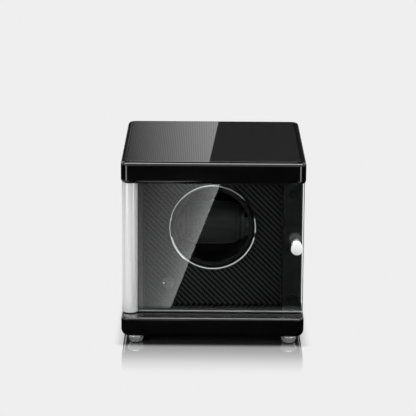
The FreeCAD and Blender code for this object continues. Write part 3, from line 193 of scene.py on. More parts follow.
# Side walls: thick fibreboard uprights in a thinner coat of black lacquer, between the slabs on beech
# dowels. The inner battens that the panel is glued to are bare beech too.
wall_lacquer, place, drive = new_finish("wall_lacquer", {"Coat Weight": 1.0, "Coat Roughness": 0.03,
                                                         "Specular IOR Level": 0.1})
haze = place.cloud(30.0, 3.0)
drive("Base Color", haze.colour(0.006, 0.011))
drive("Roughness", haze.level(0.10, 0.20))
dress(wall_lacquer, "left_wall", "right_wall")

beech, place, drive = new_finish("beech", {"Specular IOR Level": 0.35})
rings = place.stretched(60.0, 60.0, 4.0).cloud(6.0, 4.0, 0.6)
flecks = place.stretched(900.0, 900.0, 90.0).cloud(1.0, 2.0)
drive("Base Color", (rings * 0.7 + flecks * 0.3).colour((0.42, 0.26, 0.14), (0.66, 0.46, 0.29)))
drive("Roughness", flecks.level(0.5, 0.7))
drive("Normal", flecks.bump(0.00006, 0.4))
dress(beech, "wall_dowels", "fascia_battens", "cushion_core")

# Back panel: a board let into the rebates of the walls, rolled with satin black paint that keeps a fine
# stipple. It is held by four cross-head screws with blackened heads and carries the power inlet.
satin, place, drive = new_finish("satin_black", {"Specular IOR Level": 0.4})
stipple = place.cloud(1500.0, 2.0)
drive("Base Color", place.cloud(22.0, 3.0).colour(0.010, 0.018))
drive("Roughness", stipple.level(0.38, 0.55))
drive("Normal", stipple.bump(0.00008, 0.35))
dress(satin, "back_panel")

blackened, place, drive = new_finish("blackened_steel", {"Metallic": 1.0})
bloom = place.cloud(900.0, 3.0)
drive("Base Color", bloom.colour(0.05, 0.12))
drive("Roughness", bloom.level(0.28, 0.45))


def pick_faces(piece, wanted):
    """In edit mode, selects the faces of a piece that a test on the face accepts."""
    bpy.ops.object.mode_set(mode="OBJECT")
    for corner in piece.data.vertices:
        corner.select = False
    for side in piece.data.edges:
        side.select = False
    for face in piece.data.polygons:
        face.select = bool(wanted(face))
    bpy.ops.object.mode_set(mode="EDIT")


SCREW_HEAD = 0.0028
SCREW_SHANK = 0.0015
HEAD_EDGE = 0.0010
CROWN_STEPS = ((0.00025, 0.00035), (0.0006, 0.00025), (0.0008, 0.00012))
RECESS_MIDDLE = 0.00195
RECESS_SIZE = (0.0030, 0.0026, 0.0007)
RECESS_TAPER = (0.55, 1.0, 0.7)
FACING = 0.9


def cross_screw(name, seat, reach):
    """A pan-head screw on a seat that faces +Y: a crowned head with a cross recess, and its shank."""
    bpy.ops.object.select_all(action="DESELECT")
    bpy.ops.mesh.primitive_cylinder_add(vertices=40, radius=SCREW_HEAD, depth=HEAD_EDGE,
                                        rotation=(-math.pi / 2, 0, 0),
                                        location=(seat[0], seat[1] + HEAD_EDGE / 2, seat[2]))
    screw = bpy.context.object
    screw.name = name
    bpy.ops.object.transform_apply(location=True, rotation=True, scale=True)
    bpy.ops.object.mode_set(mode="EDIT")
    bpy.ops.mesh.select_mode(type="FACE")
    pick_faces(screw, lambda face: face.normal.y > FACING)
    for inset, rise in CROWN_STEPS:
        bpy.ops.mesh.inset(thickness=inset)
        bpy.ops.transform.translate(value=(0, rise, 0))
    pick_faces(screw, lambda face: face.normal.y < -FACING)
    bpy.ops.mesh.inset(thickness=SCREW_HEAD - SCREW_SHANK)
    bpy.ops.mesh.extrude_region_move(TRANSFORM_OT_translate={"value": (0, -reach, 0)})
    bpy.ops.object.mode_set(mode="OBJECT")
    for turn in (0.0, math.pi / 2):
        bpy.ops.object.select_all(action="DESELECT")
        bpy.ops.mesh.primitive_cube_add(size=1.0, location=(seat[0], seat[1] + RECESS_MIDDLE, seat[2]),
                                        rotation=(0, math.pi / 4 + turn, 0), scale=RECESS_SIZE)
        cutter = bpy.context.object
        bpy.ops.object.mode_set(mode="EDIT")
        pick_faces(cutter, lambda face: face.normal.y < -FACING)
        bpy.ops.transform.resize(value=RECESS_TAPER)
        bpy.ops.object.mode_set(mode="OBJECT")
        bpy.context.view_layer.objects.active = screw
        slot_cut = screw.modifiers.new("recess", "BOOLEAN")
        slot_cut.operation = "DIFFERENCE"
        slot_cut.object = cutter
        bpy.ops.object.modifier_apply(modifier="recess")
        bpy.data.objects.remove(cutter)
    bpy.ops.object.select_all(action="DESELECT")
    screw.select_set(True)
    bpy.context.view_layer.objects.active = screw
    bpy.ops.object.shade_smooth_by_angle(angle=math.radians(30))
    return screw


low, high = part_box("back_screws")
panel_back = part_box("back_panel")[1].y
screw_spots = [(x, z) for x in (low.x + SCREW_HEAD, high.x - SCREW_HEAD)
               for z in (low.z + SCREW_HEAD, high.z - SCREW_HEAD)]
for number, (x, z) in enumerate(screw_spots, 1):
    screw = cross_screw("back_screw_%d" % number, (x, panel_back, z), panel_back - low.y)
    screw.data.materials.append(blackened)
    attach(screw, "case")
    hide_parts("back_screws")

# Power inlet: a moulded barrel jack with a thin flange, clamped through the panel by a nut from inside.
# The leads behind it are plain black two-core wire, plugged into the control board.
plastic, place, drive = new_finish("black_plastic", {"Specular IOR Level": 0.45})
mould = place.cloud(2200.0, 2.0)
drive("Base Color", place.cloud(120.0).colour(0.010, 0.017))
drive("Roughness", mould.level(0.26, 0.40))
drive("Normal", mould.bump(0.00003, 0.3))
dress(plastic, "power_jack", "selector_switch", "control_chip", "cushion_ends", "cushion_rails",
      "lower_hinge_bush", "upper_hinge_bush")

nickel, place, drive = new_finish("nickel", {"Metallic": 1.0})
dull = place.cloud(700.0, 3.0)
drive("Base Color", dull.colour((0.55, 0.54, 0.51), (0.70, 0.69, 0.66)))
drive("Roughness", dull.level(0.18, 0.32))
dress(nickel, "power_jack_nut", "selector_nut", "selector_shaft", "knob_screw")

lead_cover, place, drive = new_finish("lead_cover", {"Specular IOR Level": 0.4})
scuff = place.cloud(500.0, 3.0)
drive("Base Color", scuff.colour(0.012, 0.022))
drive("Roughness", scuff.level(0.45, 0.6))
dress(lead_cover, "motor_lead", "power_lead")

# Bumpers: two small domes of soft black rubber, glued to the right wall's front edge.
# The closed door rests against them.
soft_rubber, place, drive = new_finish("soft_rubber", {"Specular IOR Level": 0.1})
bloom = place.cloud(1800.0, 2.0)
drive("Base Color", bloom.colour(0.004, 0.007))
drive("Roughness", bloom.level(0.6, 0.8))
dress(soft_rubber, "door_bumpers")

# Small mouldings: the wheel on the cup, the plugs of the leads and the spacers of the board are natural
# nylon. Clear washers keep the knob and its screw off the glass.
nylon, place, drive = new_finish("white_nylon", {"Specular IOR Level": 0.4})
milk = place.cloud(400.0, 2.0)
drive("Base Color", milk.colour((0.72, 0.72, 0.69), (0.80, 0.80, 0.77)))
drive("Roughness", milk.level(0.35, 0.5))
dress(nylon, "rotor_gear", "lead_plugs", "board_spacers")

clear_rubber, place, drive = new_finish("clear_rubber", {"Transmission Weight": 0.6, "IOR": 1.45})
veil = place.cloud(800.0, 2.0)
drive("Base Color", veil.colour(0.55, 0.70))
drive("Roughness", veil.level(0.2, 0.35))
dress(clear_rubber, "knob_washers")


# Front panel: fibreboard faced with real carbon cloth in a two-by-two twill under a matt film. Each tow
# lies over two and under two, so the weave shows as fine diagonal stripes that fall to the right.
# The stripes' contrast is painted light: a painted reflection that differs between the tows' two
# directions, and a painted highlight on their crests.
ROUND = 0.6
ARCH = 0.4
HAIRS = 14.0
DRIFT = 0.5


def carbon_weave(name, across, along, tow, warp_lit_greys, weft_shaded_greys, values):
    """A twill of flat tows, tow metres wide, in the plane of two axes; painted lit and shaded greys for
    its two directions.
    """
    material, place, drive = new_finish(name, values)
    u = place.axis(across) / tow
    v = place.axis(along) / tow
    cell_u = u.maths("FLOOR", u)
    cell_v = v.maths("FLOOR", v)
    over = ((cell_u + cell_v) % 4.0) < 1.5
    edge_u = abs(u - cell_u - 0.5) * 2.0
    edge_v = abs(v - cell_v - 0.5) * 2.0
    warp_run = ((cell_u + v) % 4.0) / 2.0
    weft_run = ((u + cell_v) % 4.0) / 2.0 - 1.0
    warp_arch = u.maths("SINE", warp_run * math.pi)
    weft_arch = v.maths("SINE", weft_run * math.pi)
    warp_round = 1.0 - edge_u * edge_u
    weft_round = 1.0 - edge_v * edge_v
    height = over * (warp_round * ROUND + warp_arch * ARCH)
    height = height + (1.0 - over) * (weft_round * ROUND + weft_arch * ARCH)
    fine = HAIRS / tow
    slow = DRIFT / tow
    scales = dict.fromkeys("XYZ", (slow, slow))
    scales[across] = (fine, slow)
    scales[along] = (slow, fine)
    warp_hair = place.stretched(*[scales[axis][0] for axis in "XYZ"]).cloud(1.0, 1.0)
    weft_hair = place.stretched(*[scales[axis][1] for axis in "XYZ"]).cloud(1.0, 1.0)
    hair = over * warp_hair + (1.0 - over) * weft_hair
    # Painted highlight: each tow is painted lighter towards its crest, on top of its random fibre tone.
    fibres_and_crest_highlight = height.ramp(0.0, 0.75) * (hair * 0.7 + 0.65)
    # Painted reflection: the warp tows on top get the lighter, lit greys and the weft tows the darker,
    # shaded greys.
    tone = over.colour(fibres_and_crest_highlight.colour(weft_shaded_greys[0], weft_shaded_greys[1]), fibres_and_crest_highlight.colour(warp_lit_greys[0], warp_lit_greys[1]))
    if "Coat Weight" in values:
        # Painted shade: on gloss carbon the gaps between tow columns are painted near black, and the
        # coat thins there.
        tow_gap_shade = warp_round * 0.8 + hair * 0.2
        drive("Coat Weight", tow_gap_shade.level(0.66, 1.0))
        tone = tow_gap_shade.colour(0.004, tone)
    drive("Base Color", tone)
    drive("Roughness", hair.level(0.34, 0.46))
    drive("Normal", height.bump(0.00012, 0.5))
    return material


FASCIA_TOW = 0.00136
# The fascia's two pairs of greys are painted lit and shaded copies of one carbon, a painted reflection.
matt_carbon = carbon_weave("matt_carbon", "X", "Z", FASCIA_TOW, (0.006, 0.031), (0.001, 0.003),
                           {"Specular IOR Level": 0.06})
dress(matt_carbon, "fascia")

# Trim ring: a turned brass ring, chromed and polished, round the panel's opening.
# Its sleeve is pressed into the opening and lines the panel's edge.
chrome, place, drive = new_finish("chrome", {"Metallic": 1.0})
bloom = place.cloud(180.0, 4.0)
drive("Base Color", bloom.colour((0.66, 0.67, 0.68), (0.76, 0.76, 0.76)))
drive("Roughness", bloom.level(0.03, 0.10))
dress(chrome, "trim_ring")

# Drive: a zinc-plated plate on brass pillars behind the panel carries the bearing block and the geared
# motor, whose brass pinion turns the wheel on the cup. A small control board hangs on the panel below.
zinc, place, drive = new_finish("zinc_plate", {"Metallic": 1.0})
spangle = place.node("ShaderNodeTexVoronoi", None, {"Vector": place, "Scale": 140.0}, "Color")
spangle = spangle.axis("X")
drive("Base Color", spangle.colour((0.44, 0.46, 0.49), (0.60, 0.62, 0.64)))
drive("Roughness", spangle.level(0.28, 0.44))
dress(zinc, "drive_plate", "bearing_block", "gearbox", "motor")

brass, place, drive = new_finish("brass", {"Metallic": 1.0})
patina = place.cloud(500.0, 3.0)
drive("Base Color", patina.colour((0.62, 0.42, 0.15), (0.78, 0.58, 0.26)))
drive("Roughness", patina.level(0.18, 0.34))
dress(brass, "plate_pillars", "motor_pinion", "rotor_bushes")

board_green, place, drive = new_finish("board_green", {"Specular IOR Level": 0.5})
tracks = abs((place.axis("X") * 400.0) % 1.0 - 0.5) < 0.14
mask = place.cloud(160.0, 1.0) > 0.52
drive("Base Color", (tracks * mask).colour((0.008, 0.060, 0.028), (0.020, 0.130, 0.060)))
drive("Roughness", place.cloud(900.0).level(0.25, 0.4))
dress(board_green, "control_board")

sleeve, place, drive = new_finish("capacitor_sleeve", {"Specular IOR Level": 0.5})
drive("Base Color", place.cloud(700.0).colour((0.012, 0.016, 0.035), (0.020, 0.026, 0.055)))
drive("Roughness", place.cloud(300.0).level(0.25, 0.4))
dress(sleeve, "capacitor")

# Winding cup: a deep drum moulded in black plastic with a turned-in rim and a satin inside. It turns on
# the shaft behind it, and its two grooved rails take the cushion.
cup_plastic, place, drive = new_finish("cup_plastic", {"Specular IOR Level": 0.22})
grain = place.cloud(3000.0, 1.0)
drive("Base Color", place.cloud(90.0).colour(0.006, 0.010))
drive("Roughness", grain.level(0.22, 0.34))
drive("Normal", grain.bump(0.00002, 0.3))
dress(cup_plastic, "rotor_cup")

# Watch cushion: soft foam round the core, sewn into black leather with a seam near each end, which draws
# the cover in. It is squeezed in use, so it is full and springy, and slides out by its end caps.
SKIN_GRID = 0.0012
END_BAND = 0.0016
CORE_DEPTH = 0.0095
CORE_HEIGHT = 0.0085
SLACKNESS = 0.985
FILLING_STEPS = 20
pad_low, pad_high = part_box("watch_cushion")
pad_middle = (pad_low + pad_high) / 2
pad_half = (pad_high - pad_low) / 2
bpy.ops.object.select_all(action="DESELECT")
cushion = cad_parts["watch_cushion"].copy()
cushion.data = cushion.data.copy()
bpy.context.scene.collection.objects.link(cushion)
for key in list(cushion.keys()):
    del cushion[key]
cushion.parent = None
cushion.name = "leather_cushion"
cushion.select_set(True)
bpy.context.view_layer.objects.active = cushion
bpy.ops.object.mode_set(mode="EDIT")
bpy.ops.mesh.select_all(action="SELECT")
bpy.ops.mesh.remove_doubles(threshold=0.00001)
bpy.ops.mesh.normals_make_consistent(inside=False)
bpy.ops.object.mode_set(mode="OBJECT")
evener = cushion.modifiers.new("even", "REMESH")
evener.mode = "VOXEL"
evener.voxel_size = SKIN_GRID
bpy.ops.object.modifier_apply(modifier="even")
skin = cushion.data
tight = cushion.vertex_groups.new(name="sewn_in")
for corner in skin.vertices:
    off = corner.co - pad_middle
    at_end = abs(off.x) > pad_half.x - END_BAND
    in_core = abs(off.y) < CORE_DEPTH and abs(off.z) < CORE_HEIGHT
    tight.add([corner.index], 1.0 if at_end or in_core else 0.0, "REPLACE")
    if not (at_end or in_core):
        corner.co = pad_middle + Vector((off.x, off.y * SLACKNESS, off.z * SLACKNESS))
unfilled = [corner.co.copy() for corner in skin.vertices]
stuffing = cushion.modifiers.new("stuffing", "CLOTH")
stuffing.settings.quality = 6
stuffing.settings.mass = 0.15
stuffing.settings.use_pressure = True
stuffing.settings.uniform_pressure_force = 4.0
stuffing.settings.vertex_group_mass = "sewn_in"
stuffing.settings.effector_weights.gravity = 0.0
for moment in range(1, FILLING_STEPS + 1):
    bpy.context.scene.frame_set(moment)
bpy.ops.object.modifier_apply(modifier="stuffing")
bpy.context.scene.frame_set(1)
SEAM = 0.0236
MOST_SWELL = 0.0011
CORE_REACH = 0.0105
END_EDGE = 0.0008
GROOVE_DEPTH = 0.00075
GROOVE_WIDTH = 0.0007
PUCKER_DEPTH = 0.00016
PUCKER_REACH = 0.0032
PUCKERS = 46
CREASE_DEPTH = 0.00022
CREASE_SCALE = 95.0
for corner, old in zip(skin.vertices, unfilled):
    swell = corner.co - old
    if swell.length > MOST_SWELL:
        corner.co = old + swell * (MOST_SWELL / swell.length)
    off = corner.co - pad_middle
    outward = Vector((0, off.y, off.z))
    if outward.length < CORE_REACH or abs(off.x) > pad_half.x - END_EDGE:
        continue
    around = math.atan2(off.z, off.y)
    from_seam = abs(off.x) - SEAM
    groove = GROOVE_DEPTH * math.exp(-(from_seam / GROOVE_WIDTH) ** 2)
    pucker = PUCKER_DEPTH * math.exp(-abs(from_seam) / PUCKER_REACH) * math.sin(around * PUCKERS)
    fold = CREASE_DEPTH * noise.noise(off * CREASE_SCALE)
    corner.co -= outward.normalized() * (groove + pucker + fold)
finer = cushion.modifiers.new("finer", "SUBSURF")
finer.levels = 1
finer.render_levels = 1
bpy.ops.object.modifier_apply(modifier="finer")
cushion.vertex_groups.clear()
bpy.ops.object.shade_smooth()

leather, place, drive = new_finish("black_leather", {"Specular IOR Level": 0.25, "Sheen Weight": 0.04,
                                                     "Sheen Roughness": 0.4})
pebble = place.node("ShaderNodeTexVoronoi", {"feature": "DISTANCE_TO_EDGE"},
                    {"Vector": place, "Scale": 1050.0})
crease_shade_mask = pebble.ramp(0.0, 0.16)
worn = place.cloud(70.0, 4.0)
# Painted shade: the grain's creases are painted darker, mixed with a patchy tone that differs at random.
drive("Base Color", (crease_shade_mask * 0.6 + worn * 0.4).colour(0.004, 0.016))
drive("Roughness", crease_shade_mask.level(0.62, 0.42))
drive("Normal", (crease_shade_mask + place.cloud(2400.0, 2.0) * 0.4).bump(0.00011, 0.55))
cushion.data.materials.clear()
cushion.data.materials.append(leather)
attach(cushion, "cushion")
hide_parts("watch_cushion")

# Seam stitches: a row of short stitches of waxed thread along each seam of the cushion.
# Each stitch is pulled tight, so it is half sunk in the leather.
outside = BVHTree.FromObject(cushion, bpy.context.evaluated_depsgraph_get())
STITCHES = 58
THREAD_RADIUS = 0.00026
STITCH_SHARE = 0.72
CLEAR_OF_PAD = 0.04
thread, place, drive = new_finish("waxed_thread", {"Specular IOR Level": 0.4})
ply = place.cloud(5200.0, 2.0)
drive("Base Color", ply.colour(0.030, 0.070))
drive("Roughness", ply.level(0.5, 0.7))
bpy.ops.object.select_all(action="DESELECT")
stitches = []
for side in (-1, 1):
    ring = []
    for k in range(2 * STITCHES):
        turn = math.pi * k / STITCHES
        inward = Vector((0, -math.cos(turn), -math.sin(turn)))
        begin = pad_middle + Vector((side * SEAM, 0, 0)) - inward * CLEAR_OF_PAD
        ring.append(outside.ray_cast(begin, inward)[0])
    for k in range(0, 2 * STITCHES, 2):
        reach = (ring[(k + 1) % len(ring)] - ring[k - 1]) / 2
        bpy.ops.mesh.primitive_uv_sphere_add(segments=8, ring_count=6, radius=1.0, location=ring[k],
                                             rotation=reach.to_track_quat("Z", "X").to_euler(),
                                             scale=(THREAD_RADIUS, THREAD_RADIUS,
                                                    reach.length * STITCH_SHARE))
        stitches.append(bpy.context.object)
for stitch in stitches:
    stitch.select_set(True)
bpy.context.view_layer.objects.active = stitches[0]
bpy.ops.object.join()
seam = bpy.context.object
seam.name = "seam_stitches"
bpy.ops.object.transform_apply(location=True, rotation=True, scale=True)
bpy.ops.object.shade_smooth()
seam.data.materials.append(thread)
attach(seam, "cushion")

# Program selector: a moulded black knob with a soft edge, pushed on the switch's shaft.
# A white plastic dot is let into its face and shows the setting.
gloss_plastic, place, drive = new_finish("knob_plastic", {"Specular IOR Level": 0.35})
drive("Base Color", place.cloud(200.0).colour(0.005, 0.009))
drive("Roughness", place.cloud(1200.0, 2.0).level(0.12, 0.20))
dress(gloss_plastic, "selector_knob")

white_dot, place, drive = new_finish("white_dot", {"Specular IOR Level": 0.4})
drive("Base Color", place.cloud(1500.0).colour(0.74, 0.84))
drive("Roughness", place.cloud(900.0).level(0.35, 0.5))
dress(white_dot, "selector_dot")

# Lid: a lacquered fibreboard slab like the base, with a shallow tray cut in its top.
# A plate of carbon cloth under clear gloss is glued into the tray.
dress(lacquer, "lid_slab")
INLAY_TOW = 0.00175
# Lit and shaded greys for the two tow directions, a painted reflection, and painted shade between the
# tows.
gloss_carbon = carbon_weave("gloss_carbon", "X", "Y", INLAY_TOW, (0.012, 0.045), (0.002, 0.008),
                            {"Specular IOR Level": 0.0, "Coat Weight": 1.0, "Coat Roughness": 0.01})
dress(gloss_carbon, "lid_inlay")

# Hinge post: a round bar of aluminium, finely satined and clear anodised, with pins in its ends that
# turn in the bushes. Faint lengthwise grinding is left in it. The glass is glued into a slot along it.
satined, place, drive = new_finish("satin_aluminium", {"Metallic": 0.35})
grinding = place.stretched(900.0, 900.0, 6.0).cloud(3.0, 3.0, 0.6)
drive("Base Color", grinding.colour((0.66, 0.66, 0.66), (0.75, 0.75, 0.75)))
drive("Roughness", grinding.level(0.22, 0.30))
drive("Normal", grinding.bump(0.00001, 0.1))
dress(satined, "hinge_post")

# Door: one pane of clear float glass, drilled for the knob and glued into the post.
# Its free edges have ground bevels, which catch more light than the pane.
glass = bpy.data.materials.new("clear_glass")
glass.use_nodes = True
pane = glass.node_tree.nodes["Principled BSDF"]
pane.inputs["Base Color"].default_value = (0.97, 0.985, 0.98, 1.0)
pane.inputs["Transmission Weight"].default_value = 1.0
pane.inputs["Roughness"].default_value = 0.0
pane.inputs["IOR"].default_value = 1.5
place = Wire(glass.node_tree).node("ShaderNodeTexCoord", output="Object")
ground = place.node("ShaderNodeBsdfPrincipled", None,
                    {"Base Color": (0.66, 0.68, 0.67, 1.0), "Roughness": 0.35})
glass_low, glass_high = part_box("door_glass")
BEVEL = 0.0007
SIDE_SHARE = 0.4
RIM_SHARE = 0.32
edge = (place.axis("Z") < glass_low.z + BEVEL) + (place.axis("Z") > glass_high.z - BEVEL)
edge = (edge + (place.axis("X") > glass_high.x - BEVEL) * SIDE_SHARE).at_most(1.0)
lit = place.node("ShaderNodeLightPath", output="Is Shadow Ray")
see_through = place.node("ShaderNodeBsdfTransparent", None, {"Color": (0.92, 0.94, 0.93, 1.0)})
clear = Wire(glass.node_tree, pane.outputs[0])
body = lit.node("ShaderNodeMixShader", None, {0: lit, 1: clear, 2: see_through})
rim = edge.node("ShaderNodeMixShader", None, {0: edge * RIM_SHARE, 1: body, 2: ground})
glass.node_tree.links.new(rim.socket, glass.node_tree.nodes["Material Output"].inputs["Surface"])
dress(glass, "door_glass")

# Door knob: turned from brass and chromed, with a broad, softly polished face. A screw through the
# glass holds it, with clear washers on both sides; its head is what the catch magnet in the wall pulls.
satin_chrome, place, drive = new_finish("satin_chrome", {})
FACE_DEPTH = 0.0024
FACE_BLEND = 0.0012
knob_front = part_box("door_knob")[0].y
lathe = place.cloud(900.0, 2.0)
on_face = (knob_front + FACE_DEPTH - place.axis("Y")).ramp(0.0, FACE_BLEND)
drive("Base Color", lathe.colour((0.76, 0.76, 0.76), (0.86, 0.86, 0.86)))
drive("Metallic", on_face.level(0.70, 0.35))
drive("Roughness", on_face.level(0.24, 0.36) + lathe * 0.05)
dress(satin_chrome, "door_knob")

washer_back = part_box("knob_washers")[1].y
screw_low, screw_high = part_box("knob_screw")
screw_seat = ((screw_low.x + screw_high.x) / 2, washer_back, (screw_low.z + screw_high.z) / 2)
knob_screw = cross_screw("knob_cross_screw", screw_seat, washer_back - screw_low.y)
knob_screw.data.materials.append(nickel)
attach(knob_screw, "door")
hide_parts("knob_screw")

# Floor: a pale sheet of coated board that runs out of sight on all sides, with a weak gloss in which
# the box is mirrored close by. Under the box and close round it, it turns to a dark matt board, a
# painted shadow, which the lamps light and the box also shades.
PALE = 0.86
FLOOR_SIZE = 30.0
STAND_X = 0.082
STAND_Y = 0.094
PAINTED_SHADOW_REACH = 0.012
MIRROR_REACH = 0.096
MIRROR_SHARE = 0.62
bpy.ops.object.select_all(action="DESELECT")
bpy.ops.mesh.primitive_plane_add(size=FLOOR_SIZE, location=(0, 0, 0))
floor = bpy.context.object
floor.name = "floor"
sheet = bpy.data.materials.new("pale_board")
sheet.use_nodes = True
board = sheet.node_tree
start = Wire(board)
place = start.node("ShaderNodeTexCoord", output="Object")
off_x = (abs(place.axis("X")) - STAND_X).at_least(0.0)
off_y = (abs(place.axis("Y")) - STAND_Y).at_least(0.0)
away = start.maths("SQRT", off_x * off_x + off_y * off_y)
plain = start.node("ShaderNodeEmission", None, {"Color": (PALE, PALE, PALE, 1.0), "Strength": 1.0})
# Painted shadow: under the box and within a short reach of it, the pale glow gives way to this dark matt
# board.
painted_shadow_board = start.node("ShaderNodeBsdfDiffuse", None, {"Color": (0.08, 0.08, 0.08, 1.0)})
painted_shadow_share = 1.0 - away.ramp(0.0, PAINTED_SHADOW_REACH)
board_face = start.node("ShaderNodeMixShader", None, {0: painted_shadow_share, 1: plain, 2: painted_shadow_board})
mirror = start.node("ShaderNodeBsdfGlossy", None, {"Color": (1.0, 1.0, 1.0, 1.0), "Roughness": 0.05})
nearness = 1.0 - away.ramp(0.0, MIRROR_REACH)
whole = start.node("ShaderNodeMixShader", None, {0: nearness * MIRROR_SHARE, 1: board_face, 2: mirror})
board.links.new(whole.socket, board.nodes["Material Output"].inputs["Surface"])
floor.data.materials.append(sheet)


# Reflection cards: black flags and light panels that only gloss shows, from the side they face.
# They put the slanting reflections on the door and the lid, the bright line along the slabs and the
# pale light on the post, and keep the lacquer black.
JUST_OFF_FLOOR = 0.0003


def card(name, corners, bright, dark=None, edge=None, reach=1.0, glint=0.0):
    """A flat card with its corners anticlockwise, seen from the side that it faces. Its light may fall
    off from bright to dark over a reach from an edge, which is a point and a direction, with a glint."""
    bpy.ops.object.select_all(action="DESELECT")
    bpy.ops.mesh.primitive_plane_add(size=1.0)
    panel = bpy.context.object
    panel.name = name
    for corner, spot in zip(panel.data.vertices, (corners[0], corners[1], corners[3], corners[2])):
        corner.co = Vector(spot)
    for kind in ("camera", "diffuse", "volume_scatter", "shadow"):
        setattr(panel, "visible_" + kind, False)
    paint = bpy.data.materials.new(name)
    paint.use_nodes = True
    tree = paint.node_tree
    strength = bright
    if edge:
        place = Wire(tree).node("ShaderNodeTexCoord", output="Object")
        normal = Vector(edge[1])
        along = place.node("ShaderNodeVectorMath", {"operation": "DOT_PRODUCT"},
                           {0: place, 1: normal}, "Value") - normal.dot(Vector(edge[0]))
        share = 1.0 - along / reach
        strength = share * (bright - dark) + dark + share.maths("POWER", share, 8.0) * glint
    light = Wire(tree).node("ShaderNodeEmission", None, {"Strength": strength})
    behind = light.node("ShaderNodeNewGeometry", output="Backfacing")
    mirrored = light.node("ShaderNodeLightPath", output="Glossy Depth") > 0.5
    nothing = light.node("ShaderNodeBsdfTransparent")
    # The height that the ray set out from: one from the floor passes, so the floor mirrors no card.
    height = light.node("ShaderNodeNewGeometry", output="Position").axis("Z")
    climb = light.node("ShaderNodeNewGeometry", output="Incoming").axis("Z")
    length = light.node("ShaderNodeLightPath", output="Ray Length")
    shows = mirrored * (1.0 - behind) * (height + climb * length > JUST_OFF_FLOOR)
    seen = light.node("ShaderNodeMixShader", None, {0: shows, 1: nothing, 2: light})
    tree.links.new(seen.socket, tree.nodes["Material Output"].inputs["Surface"])
    panel.data.materials.append(paint)


# The slabs' faces and the door mirror a black floor.
FLAG_LIFT = 0.0006
FLAG_X = 2.0
FLAG_Y = 2.2
SQUARE = ((-1, -1), (1, -1), (1, 1), (-1, 1))
card("floor_flag", [(x * FLAG_X, y * FLAG_Y, FLAG_LIFT) for x, y in SQUARE], 0.0)

WEDGE_LIFT = 0.0010
WEDGE_NEAR = 0.125
WEDGE_FAR = 0.62
WEDGE_LIGHT = 0.80


def floor_wedge(name, centre, start, stop):
    """A card on the floor between two bearings from a centre, in degrees to the right of the front."""
    spots = []
    outline = ((WEDGE_NEAR, start), (WEDGE_FAR, start), (WEDGE_FAR, stop), (WEDGE_NEAR, stop))
    for reach, bearing in outline:
        turn = math.radians(bearing)
        x = centre[0] + reach * math.sin(turn)
        y = centre[1] - reach * math.cos(turn)
        spots.append((x, y, WEDGE_LIFT))
    card(name, spots, WEDGE_LIGHT)


# Pale wedges of floor round the post and beside the knob, which both mirror the floor.
UNDER_POST = (-0.078, -0.080)
UNDER_KNOB = (0.077, -0.082)
for bearings in ((-44, -4), (-84, -44), (-137, -98), (-175, -137)):
    floor_wedge("post_panel", UNDER_POST, *bearings)
floor_wedge("knob_panel", UNDER_KNOB, 10, 50)

# A small panel to the left and one to the right give the feet their glints.
GLINT_LIGHT = 4.0
for side in (-1, 1):
    across = Vector((0.037, 0.033 * side, 0.0))
    lower = Vector((0.307 * side, -0.346, 0.06))
    upper = Vector((0.307 * side, -0.346, 0.12))
    card("foot_panel", [lower + across, lower - across, upper - across, upper + across], GLINT_LIGHT)

# The door mirrors a panel on the floor, which ends at a slanting line on its right.
PANEL_LIFT = 0.0012
NEAR_Y = -0.1798
FAR_Y = -0.7690
LINE_NEAR = (-0.0422, NEAR_Y)
LINE_FAR = (0.0113, -0.7507)
slant = Vector((LINE_FAR[0] - LINE_NEAR[0], LINE_FAR[1] - LINE_NEAR[1], 0)).normalized()
outline = (LINE_NEAR, (-0.0735, NEAR_Y), (-0.0960, FAR_Y), (0.0130, FAR_Y))
card("front_panel", [(x, y, PANEL_LIFT) for x, y in outline], bright=1.1, dark=0.36,
     edge=((*LINE_NEAR, 0), (slant.y, -slant.x, 0)), reach=0.085, glint=1.3)

# The lid mirrors a black rear wall and roof with one light panel, and the slabs' edges a panel overhead.
HALF = 0.6
REAR_Y = 1.2
WALL_Y = 1.202
WALL_FOOT = 0.10
ROOF_Z = 1.25
ROOF_FRONT = -0.10
card("rear_flag", [(-HALF, WALL_Y, WALL_FOOT), (HALF, WALL_Y, WALL_FOOT),
                   (HALF, WALL_Y, ROOF_Z), (-HALF, WALL_Y, ROOF_Z)], 0.02)
card("roof_flag", [(-HALF, ROOF_FRONT, ROOF_Z), (-HALF, REAR_Y, ROOF_Z),
                   (HALF, REAR_Y, ROOF_Z), (HALF, ROOF_FRONT, ROOF_Z)], 0.0)
LOW_Z = 0.3935
HIGH_Z = 0.4590
outline = ((-0.1265, LOW_Z), (0.0107, LOW_Z), (-0.0036, HIGH_Z), (-0.1385, HIGH_Z))
card("rear_panel", [(x, REAR_Y, z) for x, z in outline], bright=0.75, dark=0.14,
     edge=((0.004, REAR_Y, 0.43), (-1, 0, 0)), reach=0.130)
TOP_Z = 0.55
TOP_BACK = -0.13
TOP_FRONT = -0.33
TOP_LIGHT = 10.0
card("top_panel", [(-HALF, TOP_BACK, TOP_Z), (HALF, TOP_BACK, TOP_Z),
                   (HALF, TOP_FRONT, TOP_Z), (-HALF, TOP_FRONT, TOP_Z)], TOP_LIGHT)


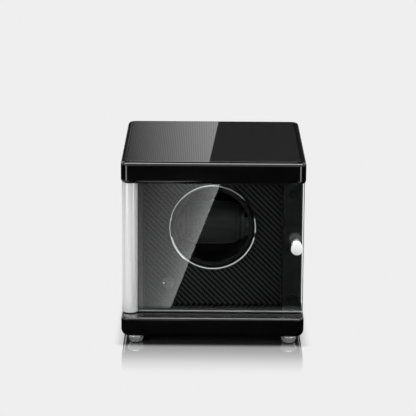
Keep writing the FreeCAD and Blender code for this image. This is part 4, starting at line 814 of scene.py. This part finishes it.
# Studio: a soft box overhead, a broad front light on each side and one behind, none of which gloss
# shows. The surround is even and pale, also where metal and glass show it.
def soft_box(name, place, aim, width, height, watts):
    """A rectangular lamp that points from place to aim."""
    lamp = bpy.data.lights.new(name, "AREA")
    lamp.shape = "RECTANGLE"
    lamp.size = width
    lamp.size_y = height
    lamp.energy = watts
    holder = bpy.data.objects.new(name, lamp)
    bpy.context.scene.collection.objects.link(holder)
    holder.location = place
    holder.rotation_euler = (Vector(aim) - Vector(place)).to_track_quat("-Z", "Y").to_euler()
    holder.visible_camera = False
    holder.visible_transmission = False
    holder.visible_glossy = False


CABINET = (0.0, 0.0, 0.1)
soft_box("top_box", (0.0, -0.35, 1.5), (0.0, -0.15, 0.1), width=1.3, height=0.9, watts=14.0)
soft_box("left_box", (-1.5, -1.7, 0.60), CABINET, width=1.1, height=1.0, watts=22.0)
soft_box("right_box", (1.7, -1.4, 0.60), CABINET, width=1.1, height=1.0, watts=16.0)
soft_box("back_box", (0.0, 2.0, 1.4), CABINET, width=1.6, height=0.8, watts=8.0)

surround = bpy.data.worlds.new("pale_surround")
surround.use_nodes = True
bpy.context.scene.world = surround
sky = surround.node_tree
start = Wire(sky)
direct = start.node("ShaderNodeLightPath", output="Is Camera Ray")
glossy = start.node("ShaderNodeLightPath", output="Is Glossy Ray")
through = start.node("ShaderNodeLightPath", output="Is Transmission Ray")
shown = (direct + glossy + through).at_most(1.0)
FILL = 0.45
backdrop = start.node("ShaderNodeBackground", None,
                      {"Color": (1.0, 1.0, 1.0, 1.0), "Strength": shown.level(FILL, PALE)})
sky.links.new(backdrop.socket, sky.nodes["World Output"].inputs["Surface"])

# Camera: a long lens that looks a little down on the front.
# It is rolled by a fraction of a degree, as the photograph is.
camera = bpy.data.cameras.new("camera")
camera.lens = 180.0
camera.sensor_width = 36.0
camera.clip_end = 100.0
viewer = bpy.data.objects.new("camera", camera)
bpy.context.scene.collection.objects.link(viewer)
PITCH = math.radians(13.54)
ROLL = math.radians(0.395)
DISTANCE = 2.028
aim = Vector((-0.00492, 0.0, 0.10929))
viewer.location = aim - Vector((0, math.cos(PITCH), -math.sin(PITCH))) * DISTANCE
viewer.rotation_euler = (Matrix.Rotation(math.pi / 2 - PITCH, 3, "X")
                         @ Matrix.Rotation(ROLL, 3, "Z")).to_euler()
bpy.context.scene.camera = viewer
bpy.context.scene.view_settings.view_transform = "Standard"
